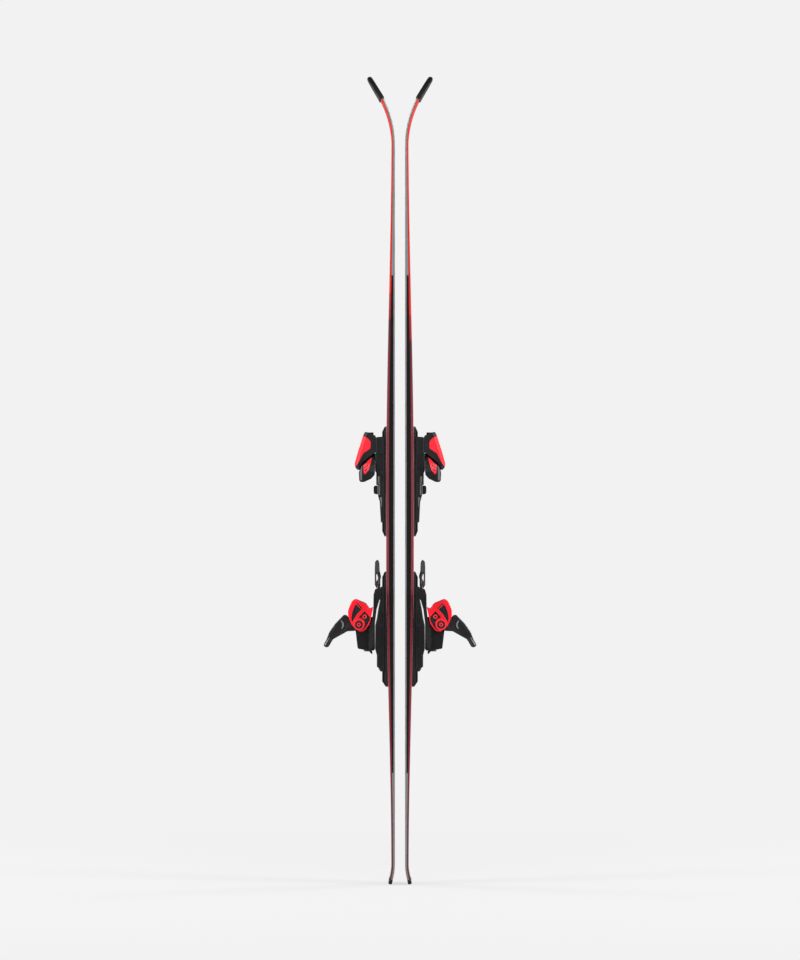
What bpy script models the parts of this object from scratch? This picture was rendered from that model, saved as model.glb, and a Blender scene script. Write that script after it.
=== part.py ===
"""Pair of alpine skis with adjustable bindings, standing tips up with their bases facing.

One ski is drawn once, in millimetres in its own frame, and placed twice: x is the height above
the running base, y runs across the ski, and z runs along it from the tail. The second ski is
the same ski turned half round, so a pair is two equal skis. Moving pieces have their origin on
the axis that they turn about or slide along.
"""
import math

import bmesh
import bpy
from mathutils import Vector

MM = 0.001
FIT = 0.3                        # clearance between neighbouring pieces
BASE_GAP = 21.0                  # between the two running bases

# Base line of a ski, from the tail to the tip.
TAIL_ANGLE = math.radians(12)
TAIL_STRAIGHT = 20.7
TAIL_RADIUS = 90.0
RUNNING_LENGTH = 1481.0
TIP_ANGLE = math.radians(31)
TIP_RADIUS = 200.0
TIP_STRAIGHT = 44.0
SKI_LENGTH = (TAIL_STRAIGHT + TAIL_RADIUS * TAIL_ANGLE + RUNNING_LENGTH
              + TIP_RADIUS * TIP_ANGLE + TIP_STRAIGHT)

# Outline: widest behind the tip, narrow at the waist, wider again at the tail.
TAIL_WIDTH = 103.0
WAIST_WIDTH = 72.0
SHOVEL_WIDTH = 121.0
TAIL_CORNER_AT = 45.0
WAIST_AT = 740.0
SHOVEL_AT = 1530.0

# Thickness along the ski.
TAIL_THICKNESS = 7.2
MIDDLE_THICKNESS = 17.9
SHOVEL_THICKNESS = 7.0
TIP_THICKNESS = 5.8
THICK_FROM = 690.0
THICK_TO = 820.0
THIN_FROM = 1560.0

# Layers of a ski.
LAYERS_START = 9.6               # the layers begin where the tail protector ends
LAYERS_END = 1632.0              # and end inside the tip protector
INNER_START = 12.1               # base and core begin inside the steel edge's tail bar
BASE_THICKNESS = 1.2
EDGE_WIDTH = 2.2
EDGE_HEIGHT = 2.0
SIDEWALL_WIDTH = 6.0

# Rails that the two binding halves are clamped to.
RAIL_FLANGE = 31.0               # half width of the foot on the ski
RAIL_NECK = 24.5
RAIL_HEAD = 28.0
RAIL_FOOT_TOP = 21.5
RAIL_NECK_TOP = 23.3
RAIL_TOP = 26.2
TOE_RAIL = (715.0, 941.0)
HEEL_RAIL = (406.0, 642.0)
RAIL_RAMP = 11.0                 # length of a rail's sloping end
CARRIAGE_HALF = 32.0             # half width of the toe base and the heel carriage

# Toe piece.
WING_PIVOT_Y = 21.0
WING_PIVOT_Z = 874.0
WING_STUD_RADIUS = 3.5
TOE_SPRING_X = 51.0
COVER_WALL = 2.3

# Heel piece.
HEEL_PIVOT_X = 73.8
HEEL_PIVOT_Z = 533.7
HEEL_PIN_RADIUS = 4.0
HEEL_SPRING_X = 57.0
TOWER_HALF = 18.0
LEVER_HALF = 24.0
LEVER_TIP_HALF = 17.0
CUP_HALF = 30.0
WORM_X = 29.8

# Ski brake.
BRAKE_X = 34.5
BRAKE_Z = 598.0
WIRE_RADIUS = 2.3
ARM_Y = 42.0                     # half distance between the two brake arms

# Colour, roughness and metallic value of each finish.
FINISHES = {
    "red_plastic": ((0.80, 0.02, 0.03, 1), 0.38, 0.0),
    "black_plastic": ((0.02, 0.02, 0.022, 1), 0.48, 0.0),
    "topsheet": ((0.62, 0.03, 0.03, 1), 0.30, 0.0),
    "sidewall": ((0.03, 0.03, 0.032, 1), 0.50, 0.0),
    "base": ((0.05, 0.05, 0.055, 1), 0.35, 0.0),
    "edge_steel": ((0.42, 0.42, 0.43, 1), 0.32, 1.0),
    "bright_steel": ((0.60, 0.60, 0.61, 1), 0.25, 1.0),
    "wood": ((0.55, 0.36, 0.18, 1), 0.65, 0.0),
}

PIECES = []                      # name, mesh, origin, finish, smoothing angle


# ---------------------------------------------------------------- solids

def clear_scene():
    for thing in list(bpy.data.objects):
        bpy.data.objects.remove(thing)


def mesh_from(bm, triangulate=False):
    """A closed mesh with its faces pointing out."""
    if triangulate:
        bmesh.ops.triangulate(bm, faces=bm.faces)
    bmesh.ops.recalc_face_normals(bm, faces=bm.faces)
    mesh = bpy.data.meshes.new("solid")
    bm.to_mesh(mesh)
    bm.free()
    return mesh


def loft(rings, triangulate=False):
    """Solid through rings of equally many (x, y, z) points, closed by its end rings."""
    bm = bmesh.new()
    loops = [[bm.verts.new(point) for point in ring] for ring in rings]
    count = len(loops[0])
    for near, far in zip(loops, loops[1:]):
        for i in range(count):
            j = (i + 1) % count
            bm.faces.new((near[i], near[j], far[j], far[i]))
    bm.faces.new(loops[0])
    bm.faces.new(loops[-1])
    return mesh_from(bm, triangulate)


def rounded(profile, radius, steps=2):
    """Outline with its corners rounded by short curves; nearly straight corners stay as they are."""
    points = [Vector(p) for p in profile]
    smooth = []
    for i, corner in enumerate(points):
        back = points[i - 1] - corner
        ahead = points[(i + 1) % len(points)] - corner
        bend = math.pi - back.angle(ahead)
        if bend < math.radians(8):
            smooth.append(tuple(corner))
            continue
        reach = min(radius * math.tan(bend / 2), 0.42 * back.length, 0.42 * ahead.length)
        start = corner + back.normalized() * reach
        end = corner + ahead.normalized() * reach
        for k in range(steps + 1):
            t = k / steps
            smooth.append(tuple(start * (1 - t) ** 2 + corner * 2 * t * (1 - t) + end * t * t))
    return smooth


def prism(profile, half, other=None):
    """Outline of (x, z) points drawn out across the ski, from y = -half to y = other or half.

    A half width may be a function of x and z, which tapers the solid.
    """
    width = half if callable(half) else lambda x, z: half
    if other is None:
        left = [(x, -width(x, z), z) for x, z in profile]
        right = [(x, width(x, z), z) for x, z in profile]
    else:
        left = [(x, half, z) for x, z in profile]
        right = [(x, other, z) for x, z in profile]
    return loft([left, right], triangulate=callable(half))


def plate(outline, low, high):
    """Outline of (y, z) points drawn out from height low to height high."""
    return loft([[(x, y, z) for y, z in outline] for x in (low, high)])


def circle(centre, axis, radius, sides):
    """Ring of points around an axis."""
    axis = Vector(axis).normalized()
    across = axis.orthogonal().normalized()
    other = axis.cross(across)
    turns = [2 * math.pi * i / sides for i in range(sides)]
    return [Vector(centre) + radius * (across * math.cos(t) + other * math.sin(t))
            for t in turns]


def turned(start, axis, profile, sides=20):
    """Round solid: profile is a list of (distance along the axis, radius)."""
    axis = Vector(axis).normalized()
    return loft([circle(Vector(start) + axis * along, axis, radius, sides)
                 for along, radius in profile])


def tube(points, radius, sides=8):
    """Round bar along a path, with its rings turned as little as possible."""
    points = [Vector(p) for p in points]
    side = None
    rings = []
    for i, point in enumerate(points):
        before = points[max(i - 1, 0)]
        after = points[min(i + 1, len(points) - 1)]
        forward = (after - before).normalized()
        side = forward.orthogonal() if side is None else side - forward * side.dot(forward)
        side.normalize()
        other = forward.cross(side)
        rings.append([point + radius * (side * math.cos(2 * math.pi * k / sides)
                                        + other * math.sin(2 * math.pi * k / sides))
                      for k in range(sides)])
    return loft(rings)


def coil(x, z_from, z_to, radius, wire, turns, sides=5, steps=9):
    """Helical spring along z, centred on the ski's middle plane."""
    count = int(turns * steps)
    points = []
    for i in range(count + 1):
        t = 2 * math.pi * turns * i / count
        points.append((x + radius * math.cos(t), radius * math.sin(t),
                       z_from + (z_to - z_from) * i / count))
    return tube(points, wire, sides)


def inset(profile, distance):
    """Outline moved inwards by a distance, or outwards if it is negative."""
    points = [Vector(p) for p in profile]
    area = sum(a.x * b.y - b.x * a.y for a, b in zip(points, points[1:] + points[:1]))
    turn = 1.0 if area > 0 else -1.0
    moved = []
    for i, corner in enumerate(points):
        into = (corner - points[i - 1]).normalized()
        out = (points[(i + 1) % len(points)] - corner).normalized()
        first = Vector((-into.y, into.x)) * turn
        second = Vector((-out.y, out.x)) * turn
        middle = (first + second).normalized()
        moved.append(corner + middle * distance / max(middle.dot(first), 0.35))
    return [tuple(p) for p in moved]


def combined(mesh, tool, operation):
    """Exact Boolean of two solids."""
    target = bpy.data.objects.new("target", mesh)
    cutter = bpy.data.objects.new("cutter", tool)
    for thing in (target, cutter):
        bpy.context.scene.collection.objects.link(thing)
    step = target.modifiers.new("boolean", "BOOLEAN")
    step.operation = operation
    step.object = cutter
    bpy.context.view_layer.update()
    depsgraph = bpy.context.evaluated_depsgraph_get()
    result = bpy.data.meshes.new_from_object(target.evaluated_get(depsgraph))
    for thing in (target, cutter):
        bpy.data.objects.remove(thing)
    return result


def cut(mesh, *tools):
    for tool in tools:
        mesh = combined(mesh, tool, "DIFFERENCE")
    return mesh


def join(mesh, *tools):
    for tool in tools:
        mesh = combined(mesh, tool, "UNION")
    return mesh


def keep(mesh, tool):
    return combined(mesh, tool, "INTERSECT")


def add(name, mesh, finish, origin=(0, 0, 0), smooth=35):
    """Record a piece of one ski."""
    PIECES.append((name, mesh, Vector(origin), finish, math.radians(smooth)))


# ---------------------------------------------------------------- shape of a ski

def mix(a, b, t):
    return a + (b - a) * t


def smooth_step(t):
    t = min(max(t, 0.0), 1.0)
    return t * t * (3 - 2 * t)


def base_line(s):
    """Point (x, z) and angle of the base at length s from the tail."""
    x = TAIL_STRAIGHT * math.sin(TAIL_ANGLE) + TAIL_RADIUS * (1 - math.cos(TAIL_ANGLE))
    z = 0.0
    angle = -TAIL_ANGLE
    for length, radius in ((TAIL_STRAIGHT, None), (TAIL_RADIUS * TAIL_ANGLE, TAIL_RADIUS),
                           (RUNNING_LENGTH, None), (TIP_RADIUS * TIP_ANGLE, TIP_RADIUS),
                           (TIP_STRAIGHT * 2, None)):
        run = min(s, length)
        turn = run / radius if radius else 0.0
        chord = 2 * radius * math.sin(turn / 2) if radius else run
        x += chord * math.sin(angle + turn / 2)
        z += chord * math.cos(angle + turn / 2)
        angle += turn
        s -= run
    return x, z, angle


def thickness(s):
    if s < THICK_TO:
        rise = smooth_step((s - 30) / (THICK_FROM - 30))
        return mix(TAIL_THICKNESS, MIDDLE_THICKNESS, rise)
    if s < THIN_FROM:
        fall = smooth_step((s - THICK_TO) / (THIN_FROM - THICK_TO))
        return mix(MIDDLE_THICKNESS, SHOVEL_THICKNESS, fall)
    return mix(SHOVEL_THICKNESS, TIP_THICKNESS, (s - THIN_FROM) / (LAYERS_END - THIN_FROM))


def half_width(s):
    """Sidecut: two parabolas that meet at the waist, and rounded ends."""
    waist = WAIST_WIDTH / 2
    if s < TAIL_CORNER_AT:
        return TAIL_WIDTH / 2 * (1 - ((TAIL_CORNER_AT - s) / 60) ** 2.5) ** 0.4
    if s < WAIST_AT:
        reach = (WAIST_AT - s) / (WAIST_AT - TAIL_CORNER_AT)
        return waist + (TAIL_WIDTH / 2 - waist) * reach ** 2
    if s < SHOVEL_AT:
        reach = (s - WAIST_AT) / (SHOVEL_AT - WAIST_AT)
        return waist + (SHOVEL_WIDTH / 2 - waist) * reach ** 2
    reach = min((s - SHOVEL_AT) / (SKI_LENGTH - SHOVEL_AT), 1.0)
    return SHOVEL_WIDTH / 2 * (1 - reach ** 2.4) ** 0.5


def side_height(s):
    """Height of the topsheet's rolled side, more where the ski is thick."""
    return 3.0 + 2.6 * (thickness(s) - SHOVEL_THICKNESS) / (MIDDLE_THICKNESS - SHOVEL_THICKNESS)


def both(half):
    """Closed ring from the points of its +y half, given from below to the top."""
    return list(half) + [(-y, n) for y, n in reversed(half)]


def across(s, ring):
    """Ring of (y, height) points, square to the base line at length s."""
    x, z, angle = base_line(s)
    return [Vector((x + n * math.cos(angle), y, z - n * math.sin(angle))) for y, n in ring]


def stations(start):
    """Lengths at which a layer has a section: close together where the ski bends."""
    bend = [16, 22, 28, 34, 40]
    middle = [60, 110, 200, 320, 450, 570, 690, 820, 950, 1090, 1230, 1360, 1470]
    tip = [1520.5, 1536, 1552, 1568, 1584, 1600, 1616]
    return [start] + bend + middle + tip + [LAYERS_END]


def running_base():
    rings = []
    for s in stations(INNER_START):
        y = half_width(s) - EDGE_WIDTH - FIT
        rings.append(across(s, both([(y, 0), (y, BASE_THICKNESS)])))
    return loft(rings)


def edge_ring(s_out, s_in):
    """Section of the steel edge, with its outer and inner face at their own lengths."""
    out_y = half_width(s_out)
    in_y = half_width(s_in) - EDGE_WIDTH
    inner = across(s_in, [(in_y, 0), (in_y, EDGE_HEIGHT)])
    outer = across(s_out, [(out_y, 0), (out_y, EDGE_HEIGHT)])
    return [inner[0], outer[0], outer[1], inner[1]]


def steel_edge():
    """One bar down one side, across the tail and up the other side."""
    corner = edge_ring(LAYERS_START, LAYERS_START + EDGE_WIDTH)
    side = [corner] + [edge_ring(s, s) for s in stations(0)[1:]]
    other = [[Vector((p.x, -p.y, p.z)) for p in ring] for ring in side]
    return loft(list(reversed(side)) + other)


def core():
    rings = []
    for s in stations(INNER_START):
        y = half_width(s) - SIDEWALL_WIDTH - FIT
        rings.append(across(s, both([(y, BASE_THICKNESS + FIT), (y, thickness(s) - 1.6)])))
    return loft(rings)


def sidewall(side):
    rings = []
    for s in stations(LAYERS_START):
        y = half_width(s)
        top = thickness(s) - side_height(s) - FIT
        ring = [(y - SIDEWALL_WIDTH, EDGE_HEIGHT + FIT), (y, EDGE_HEIGHT + FIT),
                (y - 0.6, top), (y - SIDEWALL_WIDTH, top)]
        rings.append(across(s, [(side * a, n) for a, n in ring]))
    return loft(rings)


def topsheet():
    """Cap with a rolled, bevelled rim that stands on the sidewalls."""
    rings = []
    for s in stations(LAYERS_START):
        y = half_width(s)
        top = thickness(s)
        foot = top - side_height(s)
        bevel = 2.0 + side_height(s) * 0.52
        half = [(y - bevel - 1.0, top - 1.3), (y - 2.5, foot), (y - 0.7, foot),
                (y - 0.9, foot + 1.2), (y - bevel, top)]
        rings.append(across(s, both(half)))
    return loft(rings)


def tip_protector():
    """Moulded cap around the tip, with a pocket for the ends of the layers."""
    round_from = 1668.0
    round_length = SKI_LENGTH + 2.0 - round_from
    rings = []
    for s in (1620, 1632, 1642, 1651, 1658.5, 1664, 1668, 1671, 1673, 1674.3):
        middle = thickness(min(s, LAYERS_END)) / 2
        height = middle + 2.35
        if s > round_from:
            height *= math.sqrt(1 - ((s - round_from) / round_length) ** 2)
        y = half_width(s) + 1.6
        soft = height * 0.45
        rings.append(across(s, both([(y - soft, middle - height), (y, middle - height + soft),
                                     (y, middle + height - soft), (y - soft, middle + height)])))
    pocket = []
    for s in (1612, 1620, 1626, LAYERS_END + FIT):
        y = half_width(s) + 0.35
        pocket.append(across(s, both([(y, -0.35), (y, thickness(s) + 0.35)])))
    return cut(loft(rings, triangulate=True), loft(pocket, triangulate=True))


def tail_protector():
    rings = []
    for s in (0, 1.5, 5, LAYERS_START - FIT):
        y = half_width(s) + 0.5 - (1.5 if s == 0 else 0)
        low = 0.8 if s == 0 else 0.0
        top = thickness(s) + 0.6
        rings.append(across(s, both([(y, low), (y, top - 1.5), (y - 1.5, top - low)])))
    return loft(rings)


def make_ski():
    add("running_base", running_base(), "base")
    add("steel_edge", steel_edge(), "edge_steel")
    add("core", core(), "wood")
    add("sidewall_a", sidewall(-1), "sidewall")
    add("sidewall_b", sidewall(1), "sidewall")
    add("topsheet", topsheet(), "topsheet")
    add("tip_protector", tip_protector(), "black_plastic")
    add("tail_protector", tail_protector(), "black_plastic")


# ---------------------------------------------------------------- rails and slides

def level(z, ring):
    """Ring of (y, height) points across the flat middle of the ski."""
    return [(n, y, z) for y, n in ring]


def rail(start, end):
    """Moulded T rail screwed to the ski, with sloping ends."""
    rings = []
    for z, height in ((start, 0.4), (start + RAIL_RAMP, 1.0), ((start + end) / 2, 1.0),
                      (end - RAIL_RAMP, 1.0), (end, 0.4)):
        foot = thickness(z) + FIT
        half = [(RAIL_FLANGE, foot), (RAIL_FLANGE, RAIL_FOOT_TOP), (RAIL_NECK, RAIL_FOOT_TOP),
                (RAIL_NECK, RAIL_NECK_TOP), (RAIL_HEAD, RAIL_NECK_TOP), (RAIL_HEAD, RAIL_TOP)]
        rings.append(level(z, both([(y, mix(foot, n, height)) for y, n in half])))
    return loft(rings)


def slide_body(tops):
    """Housing that hooks round the head of a rail: tops is a list of (z, height)."""
    lip = RAIL_NECK + FIT
    inner = RAIL_HEAD + FIT
    foot = RAIL_FOOT_TOP + FIT
    rings = []
    for z, top in tops:
        half = [(inner, RAIL_TOP + FIT), (inner, RAIL_NECK_TOP - FIT), (lip, RAIL_NECK_TOP - FIT),
                (lip, foot), (CARRIAGE_HALF, foot), (CARRIAGE_HALF, top - 3), (29, top)]
        rings.append(level(z, both(half)))
    return loft(rings)


# ---------------------------------------------------------------- toe piece

HOUSING_PROFILE = [(38.8, 922), (61.5, 931), (65.6, 922), (77.1, 886), (83.1, 864),
                   (81.3, 856.5), (75.5, 850), (67.5, 866), (53.7, 877.6), (38.8, 888.7)]
COVER_REGION = [(65.6, 922), (56.3, 917), (51, 912), (49.6, 907), (50, 896), (58.2, 890.5),
                (64.8, 886), (68.5, 879.6), (73.8, 868.5), (80.4, 858), (92, 858), (92, 922)]
WING_PLAN = [(21, 881.5), (27, 878.5), (31, 872), (36, 862), (39.5, 848), (40, 836), (38, 827),
             (33, 826.5), (31.5, 832), (32.5, 845), (30, 856), (24.5, 863), (17, 866.7),
             (13.7, 872), (15, 879)]
WING_LIP = [(12, 866), (12, 850), (20, 842), (33, 838), (36, 850), (30, 866)]
WING_SIDE = [(41, 883.5), (46, 880), (53.5, 873.5), (62, 865.5), (66.5, 862.5), (74.2, 847.5),
             (73.4, 829.8), (70.1, 826.3), (62.9, 827), (49.1, 833.5), (41.7, 841.7), (41, 853)]


def toe_base():
    body = slide_body([(743.6, 29.1), (764, 30.2), (786, 31.2), (799.7, 35.1), (820.4, 35.1),
                       (820.6, 38.5), (846, 38.5), (849, 40.6), (886.8, 40.6), (888.3, 38.4),
                       (918, 36.2), (920, 27.5)])
    studs = [turned((30, side * WING_PIVOT_Y, WING_PIVOT_Z), (1, 0, 0),
                    [(0, WING_STUD_RADIUS), (17.5, WING_STUD_RADIUS), (18, 3.0)], 16)
             for side in (-1, 1)]
    return join(body, *studs)


def housing_half(x, z):
    """The housing narrows evenly with height."""
    return mix(28.0, 20.0, (x - 38.8) / (83.1 - 38.8))


def toe_housing():
    outer = prism(rounded(HOUSING_PROFILE, 6), housing_half)
    wall = COVER_WALL + FIT
    inner = prism(inset(HOUSING_PROFILE, wall), lambda x, z: housing_half(x, z) - wall)
    recess = cut(prism(inset(rounded(COVER_REGION, 5), -FIT), 40), inner)
    bore = turned((TOE_SPRING_X, 0, 892), (0, 0, 1), [(0, 7.8), (50, 7.8)])
    return cut(outer, recess, bore)


def toe_cover():
    outer = keep(prism(rounded(HOUSING_PROFILE, 6), housing_half),
                 prism(rounded(COVER_REGION, 5), 40))
    inner = prism(inset(HOUSING_PROFILE, COVER_WALL),
                  lambda x, z: housing_half(x, z) - COVER_WALL)
    return cut(outer, inner)


def toe_wing(side):
    arm = join(plate(rounded(WING_PLAN, 8), 41, 74.5), plate(rounded(WING_LIP, 4), 65.5, 71.8))
    arm = keep(arm, prism(rounded(WING_SIDE, 7), 0, 50))
    bore = turned((40, WING_PIVOT_Y, WING_PIVOT_Z), (1, 0, 0), [(0, 3.9), (9, 3.9)], 16)
    arm = cut(arm, bore)
    if side < 0:
        mirrored(arm)
    return arm


def mirrored(mesh):
    """Turn a solid into its mirror image across the ski's middle plane."""
    for vertex in mesh.vertices:
        vertex.co.y = -vertex.co.y
    mesh.flip_normals()


def afd_plate():
    """Sliding plate under the boot's toe."""
    return prism([(35.5, 801), (43, 802.5), (43.8, 806), (43.8, 816), (43, 819), (39.5, 819.8),
                  (35.5, 819.8)], 26)


def make_toe():
    add("toe_track", rail(*TOE_RAIL), "black_plastic")
    add("toe_base", toe_base(), "black_plastic")
    add("toe_housing", toe_housing(), "black_plastic")
    add("toe_cover", toe_cover(), "red_plastic")
    add("toe_spring", coil(TOE_SPRING_X, 893.5, 916, 5.6, 1.1, 4.5), "bright_steel")
    for name, side in (("toe_wing_a", -1), ("toe_wing_b", 1)):
        add(name, toe_wing(side), "black_plastic", (57, side * WING_PIVOT_Y, WING_PIVOT_Z))
    screw = turned((TOE_SPRING_X, 0, 898), (0, 0, 1),
                   [(0, 2.5), (23, 2.5), (23.2, 6.9), (30, 7.0), (31, 6.2)])
    slot = prism([(44, 927.4), (58, 927.4), (58, 935), (44, 935)], 0.9)
    add("toe_din_screw", cut(screw, slot), "bright_steel", (TOE_SPRING_X, 0, 925))
    add("afd_plate", afd_plate(), "black_plastic", (39.5, 0, 811))


# ---------------------------------------------------------------- heel piece

EAR_PROFILE = [(26.8, 609), (36, 606.5), (41, 601), (41, 594), (36, 589.5), (26.8, 588)]
TOWER_PROFILE = [(41.1, 480), (57, 480.6), (76.7, 484), (80.6, 518), (84, 530), (81, 543),
                 (70, 553), (58, 554), (50, 549), (41.1, 548)]
CUP_PROFILE = [(81.9, 586.5), (59.6, 577.2), (51.6, 565.5), (44.4, 570), (47.9, 553.5),
               (49.5, 546), (51.6, 535.2), (62.3, 520.8), (72.6, 518.9), (88.5, 532.5),
               (96.3, 551), (96.3, 564), (89.7, 579.9)]
CUP_HOLLOW = [(46, 500), (46, 548), (52, 558), (61, 571), (80, 579), (86, 575), (91.5, 562),
              (91.5, 551.5), (104, 551.5), (104, 500)]
FRONT_WINDOW = [(77.5, 578.2), (83.1, 570.8), (88.2, 556.8), (89.4, 546.5), (88.2, 538.5),
                (83.1, 546.5), (76.5, 556.8), (66.2, 566.9)]
REAR_WINDOW = [(62.2, 561.3), (74, 548.6), (66.2, 545.1), (61.9, 539.2), (61.9, 532.5),
               (68, 523.4), (58.1, 530.5), (52.2, 541.5), (51.2, 548.5), (53.7, 552.6)]
LEVER_PROFILE = [(66, 541.5), (70, 543.2), (84, 543.5), (91, 545.5), (96.5, 548.5),
                 (98.3, 551.5), (104.8, 553.7), (123.7, 534.2), (135.4, 517.5), (141.4, 502.2),
                 (147.4, 491.5), (143.7, 486.8), (136.7, 486.8), (127.2, 503.3),
                 (97.5, 519.9), (84, 520.5), (75, 524), (66, 528), (64.3, 534)]
LEVER_SLOT = [(50, 500), (60, 515), (60, 560), (80, 556), (90, 546.3), (104, 548), (120, 531.5),
              (128, 519), (123, 505), (110, 495)]
ARM_PROFILE = [(28.5, 609.5), (41.1, 605), (43.8, 596), (44.3, 567), (46.5, 545), (53.5, 524),
               (54.5, 500), (53, 480), (50.5, 476.5), (45.8, 472), (47.9, 482.7), (43.8, 488),
               (42, 500), (41.8, 520), (41.5, 533), (37.5, 565), (32, 584), (28.5, 590)]
ARM_END_BOX = [(36, 460), (60, 460), (60, 530), (36, 530)]
PEDAL_LOOP = [(35.1, 655), (41.3, 655), (41.5, 648.9), (41.5, 615.3), (38.2, 609), (36.8, 606.9),
              (35.1, 615.3), (33.5, 624.8), (28.7, 628.9), (28.7, 633.2), (31.4, 643.8),
              (31.9, 655)]
PEDAL_PAD = [(35.1, 667.4), (40.9, 662.7), (41.5, 648.9), (41.5, 641), (31, 641), (31.4, 643.8),
             (32, 659.4)]
PEDAL_WINDOW = [(38.4, 638.4), (34.9, 634.5), (34.9, 628.3), (38.2, 621)]


def heel_carriage():
    body = slide_body([(437.5, 30.6), (444, 30.6), (446.5, 37.2), (471, 37.2), (484, 40.7),
                       (533.5, 40.3), (546, 37.2), (567, 34.1), (583, 31), (609, 30.6),
                       (611, 28.5)])
    ears = [prism(EAR_PROFILE, side * 26.5, side * 31.8) for side in (-1, 1)]
    pivot = turned((BRAKE_X, -40, BRAKE_Z), (0, 1, 0), [(0, 3.1), (80, 3.1)], 12)
    bore = turned((WORM_X, 0, 430), (0, 0, 1), [(0, 3.8), (42, 3.8)], 16)
    return cut(join(body, *ears), pivot, bore)


def heel_tower():
    pin = turned((HEEL_PIVOT_X, -40, HEEL_PIVOT_Z), (0, 1, 0), [(0, 4.4), (80, 4.4)], 20)
    bore = turned((HEEL_SPRING_X, 0, 470), (0, 0, 1), [(0, 8.6), (70, 8.6)], 20)
    return cut(prism(rounded(TOWER_PROFILE, 4), TOWER_HALF), pin, bore)


def heel_cup():
    """Heel cup: two cheeks joined by the front wall, with windows in the cheeks."""
    hollow = prism(rounded(CUP_HOLLOW, 6), LEVER_HALF + FIT)
    pin = turned((HEEL_PIVOT_X, -40, HEEL_PIVOT_Z), (0, 1, 0), [(0, 4.4), (80, 4.4)], 20)
    body = cut(prism(rounded(CUP_PROFILE, 12), CUP_HALF), hollow, pin)
    return cut(body, prism(rounded(FRONT_WINDOW, 1), 40), prism(rounded(REAR_WINDOW, 1), 40))


def lever_half(x, z):
    """The lever narrows towards its tip."""
    reach = math.hypot(x - HEEL_PIVOT_X, z - HEEL_PIVOT_Z)
    return mix(LEVER_HALF, LEVER_TIP_HALF, min(max((reach - 62) / 23, 0), 1))


def heel_lever():
    slot = prism(rounded(LEVER_SLOT, 5), TOWER_HALF + 0.8)
    pin = turned((HEEL_PIVOT_X, -40, HEEL_PIVOT_Z), (0, 1, 0), [(0, 4.4), (80, 4.4)], 20)
    return cut(prism(rounded(LEVER_PROFILE, 9), lever_half), slot, pin)


def wire_path():
    """Middle line of the brake wire, from one arm's end round the pedal to the other's."""
    half = [(48.2, ARM_Y, 505), (45, ARM_Y, 532), (41.5, ARM_Y, 560), (37, ARM_Y, 588),
            (35.2, ARM_Y - 0.6, 594.5), (BRAKE_X, ARM_Y - 3, 597.6), (BRAKE_X, 38, BRAKE_Z),
            (BRAKE_X, 27, BRAKE_Z), (BRAKE_X, 25.2, 598.6), (34.3, 23.9, 601), (33.8, 23.6, 606),
            (32.4, 23.6, 617), (32.3, 23.6, 629), (34.2, 23.6, 636.5), (36, 23.6, 643),
            (36.8, 22.8, 648), (37, 20.3, 651.3), (37, 17, 652)]
    return half + [(x, -y, z) for x, y, z in reversed(half)]


def brake_pedal():
    """Two-part pad that the boot's heel presses down."""
    body = join(prism(PEDAL_LOOP, 20.6), prism(rounded(PEDAL_PAD, 4), 29.5))
    window = prism(rounded(PEDAL_WINDOW, 2), 40)
    tunnel = tube([p for p in wire_path() if p[2] > 600 and abs(p[1]) < 25],
                  WIRE_RADIUS + 0.4, 10)
    return cut(body, window, tunnel)


def brake_tip(side):
    """Plastic arm cover beside the wire, with a thick end that the wire is pushed into."""
    outline = rounded(ARM_PROFILE, 5)
    cover = prism(outline, ARM_Y + 2.6, ARM_Y + 6.5)
    end = keep(prism(inset(outline, 0.4), ARM_Y - 2.8, ARM_Y + 5), prism(ARM_END_BOX, 0, 60))
    above = (42.5, ARM_Y, 551)
    socket = tube([(48.25, ARM_Y, 504.5), (45, ARM_Y, 532), above], WIRE_RADIUS + 0.3, 10)
    arm = cut(join(cover, end), socket)
    if side < 0:
        mirrored(arm)
    return arm


def worm():
    """Screw that moves the heel piece along its rail: a plain shaft with a slotted head."""
    shaft = turned((WORM_X, 0, 439), (0, 0, 1),
                   [(0, 2.6), (0.6, 3.2), (6.5, 3.2), (7, 2.2), (9, 2.2), (9.5, 3.2), (30, 3.2),
                    (31, 2.4)], 16)
    slot = prism([(24, 436), (35, 436), (35, 440.8), (24, 440.8)], 0.6)
    return cut(shaft, slot)


def make_heel():
    add("heel_track", rail(*HEEL_RAIL), "black_plastic")
    add("heel_carriage", heel_carriage(), "black_plastic")
    add("worm_screw", worm(), "bright_steel", (WORM_X, 0, 455))
    add("heel_tower", heel_tower(), "black_plastic", (57, 0, 517))
    add("heel_spring", coil(HEEL_SPRING_X, 489.5, 537, 6.4, 1.5, 6.5), "bright_steel")
    pivot = (HEEL_PIVOT_X, 0, HEEL_PIVOT_Z)
    pin = turned((HEEL_PIVOT_X, -31.5, HEEL_PIVOT_Z), (0, 1, 0),
                 [(0, 3.3), (0.7, HEEL_PIN_RADIUS), (62.3, HEEL_PIN_RADIUS), (63, 3.3)], 20)
    add("heel_pin", pin, "bright_steel", pivot)
    screw = turned((HEEL_SPRING_X, 0, 478), (0, 0, 1),
                   [(0, 7.0), (1, 7.8), (8.5, 7.8), (8.7, 3.0), (32, 3.0)])
    slot = prism([(48, 475), (66, 475), (66, 479.8), (48, 479.8)], 1.0)
    add("heel_din_screw", cut(screw, slot), "bright_steel", (HEEL_SPRING_X, 0, 482))
    add("heel_cup", heel_cup(), "red_plastic", pivot)
    add("heel_lever", heel_lever(), "black_plastic", pivot)


def make_brake():
    pivot = (BRAKE_X, 0, BRAKE_Z)
    add("brake_wire", tube(wire_path(), WIRE_RADIUS, 8), "bright_steel", pivot, smooth=50)
    add("brake_pedal", brake_pedal(), "black_plastic", pivot)
    add("brake_tip_a", brake_tip(-1), "black_plastic", pivot)
    add("brake_tip_b", brake_tip(1), "black_plastic", pivot)


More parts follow.
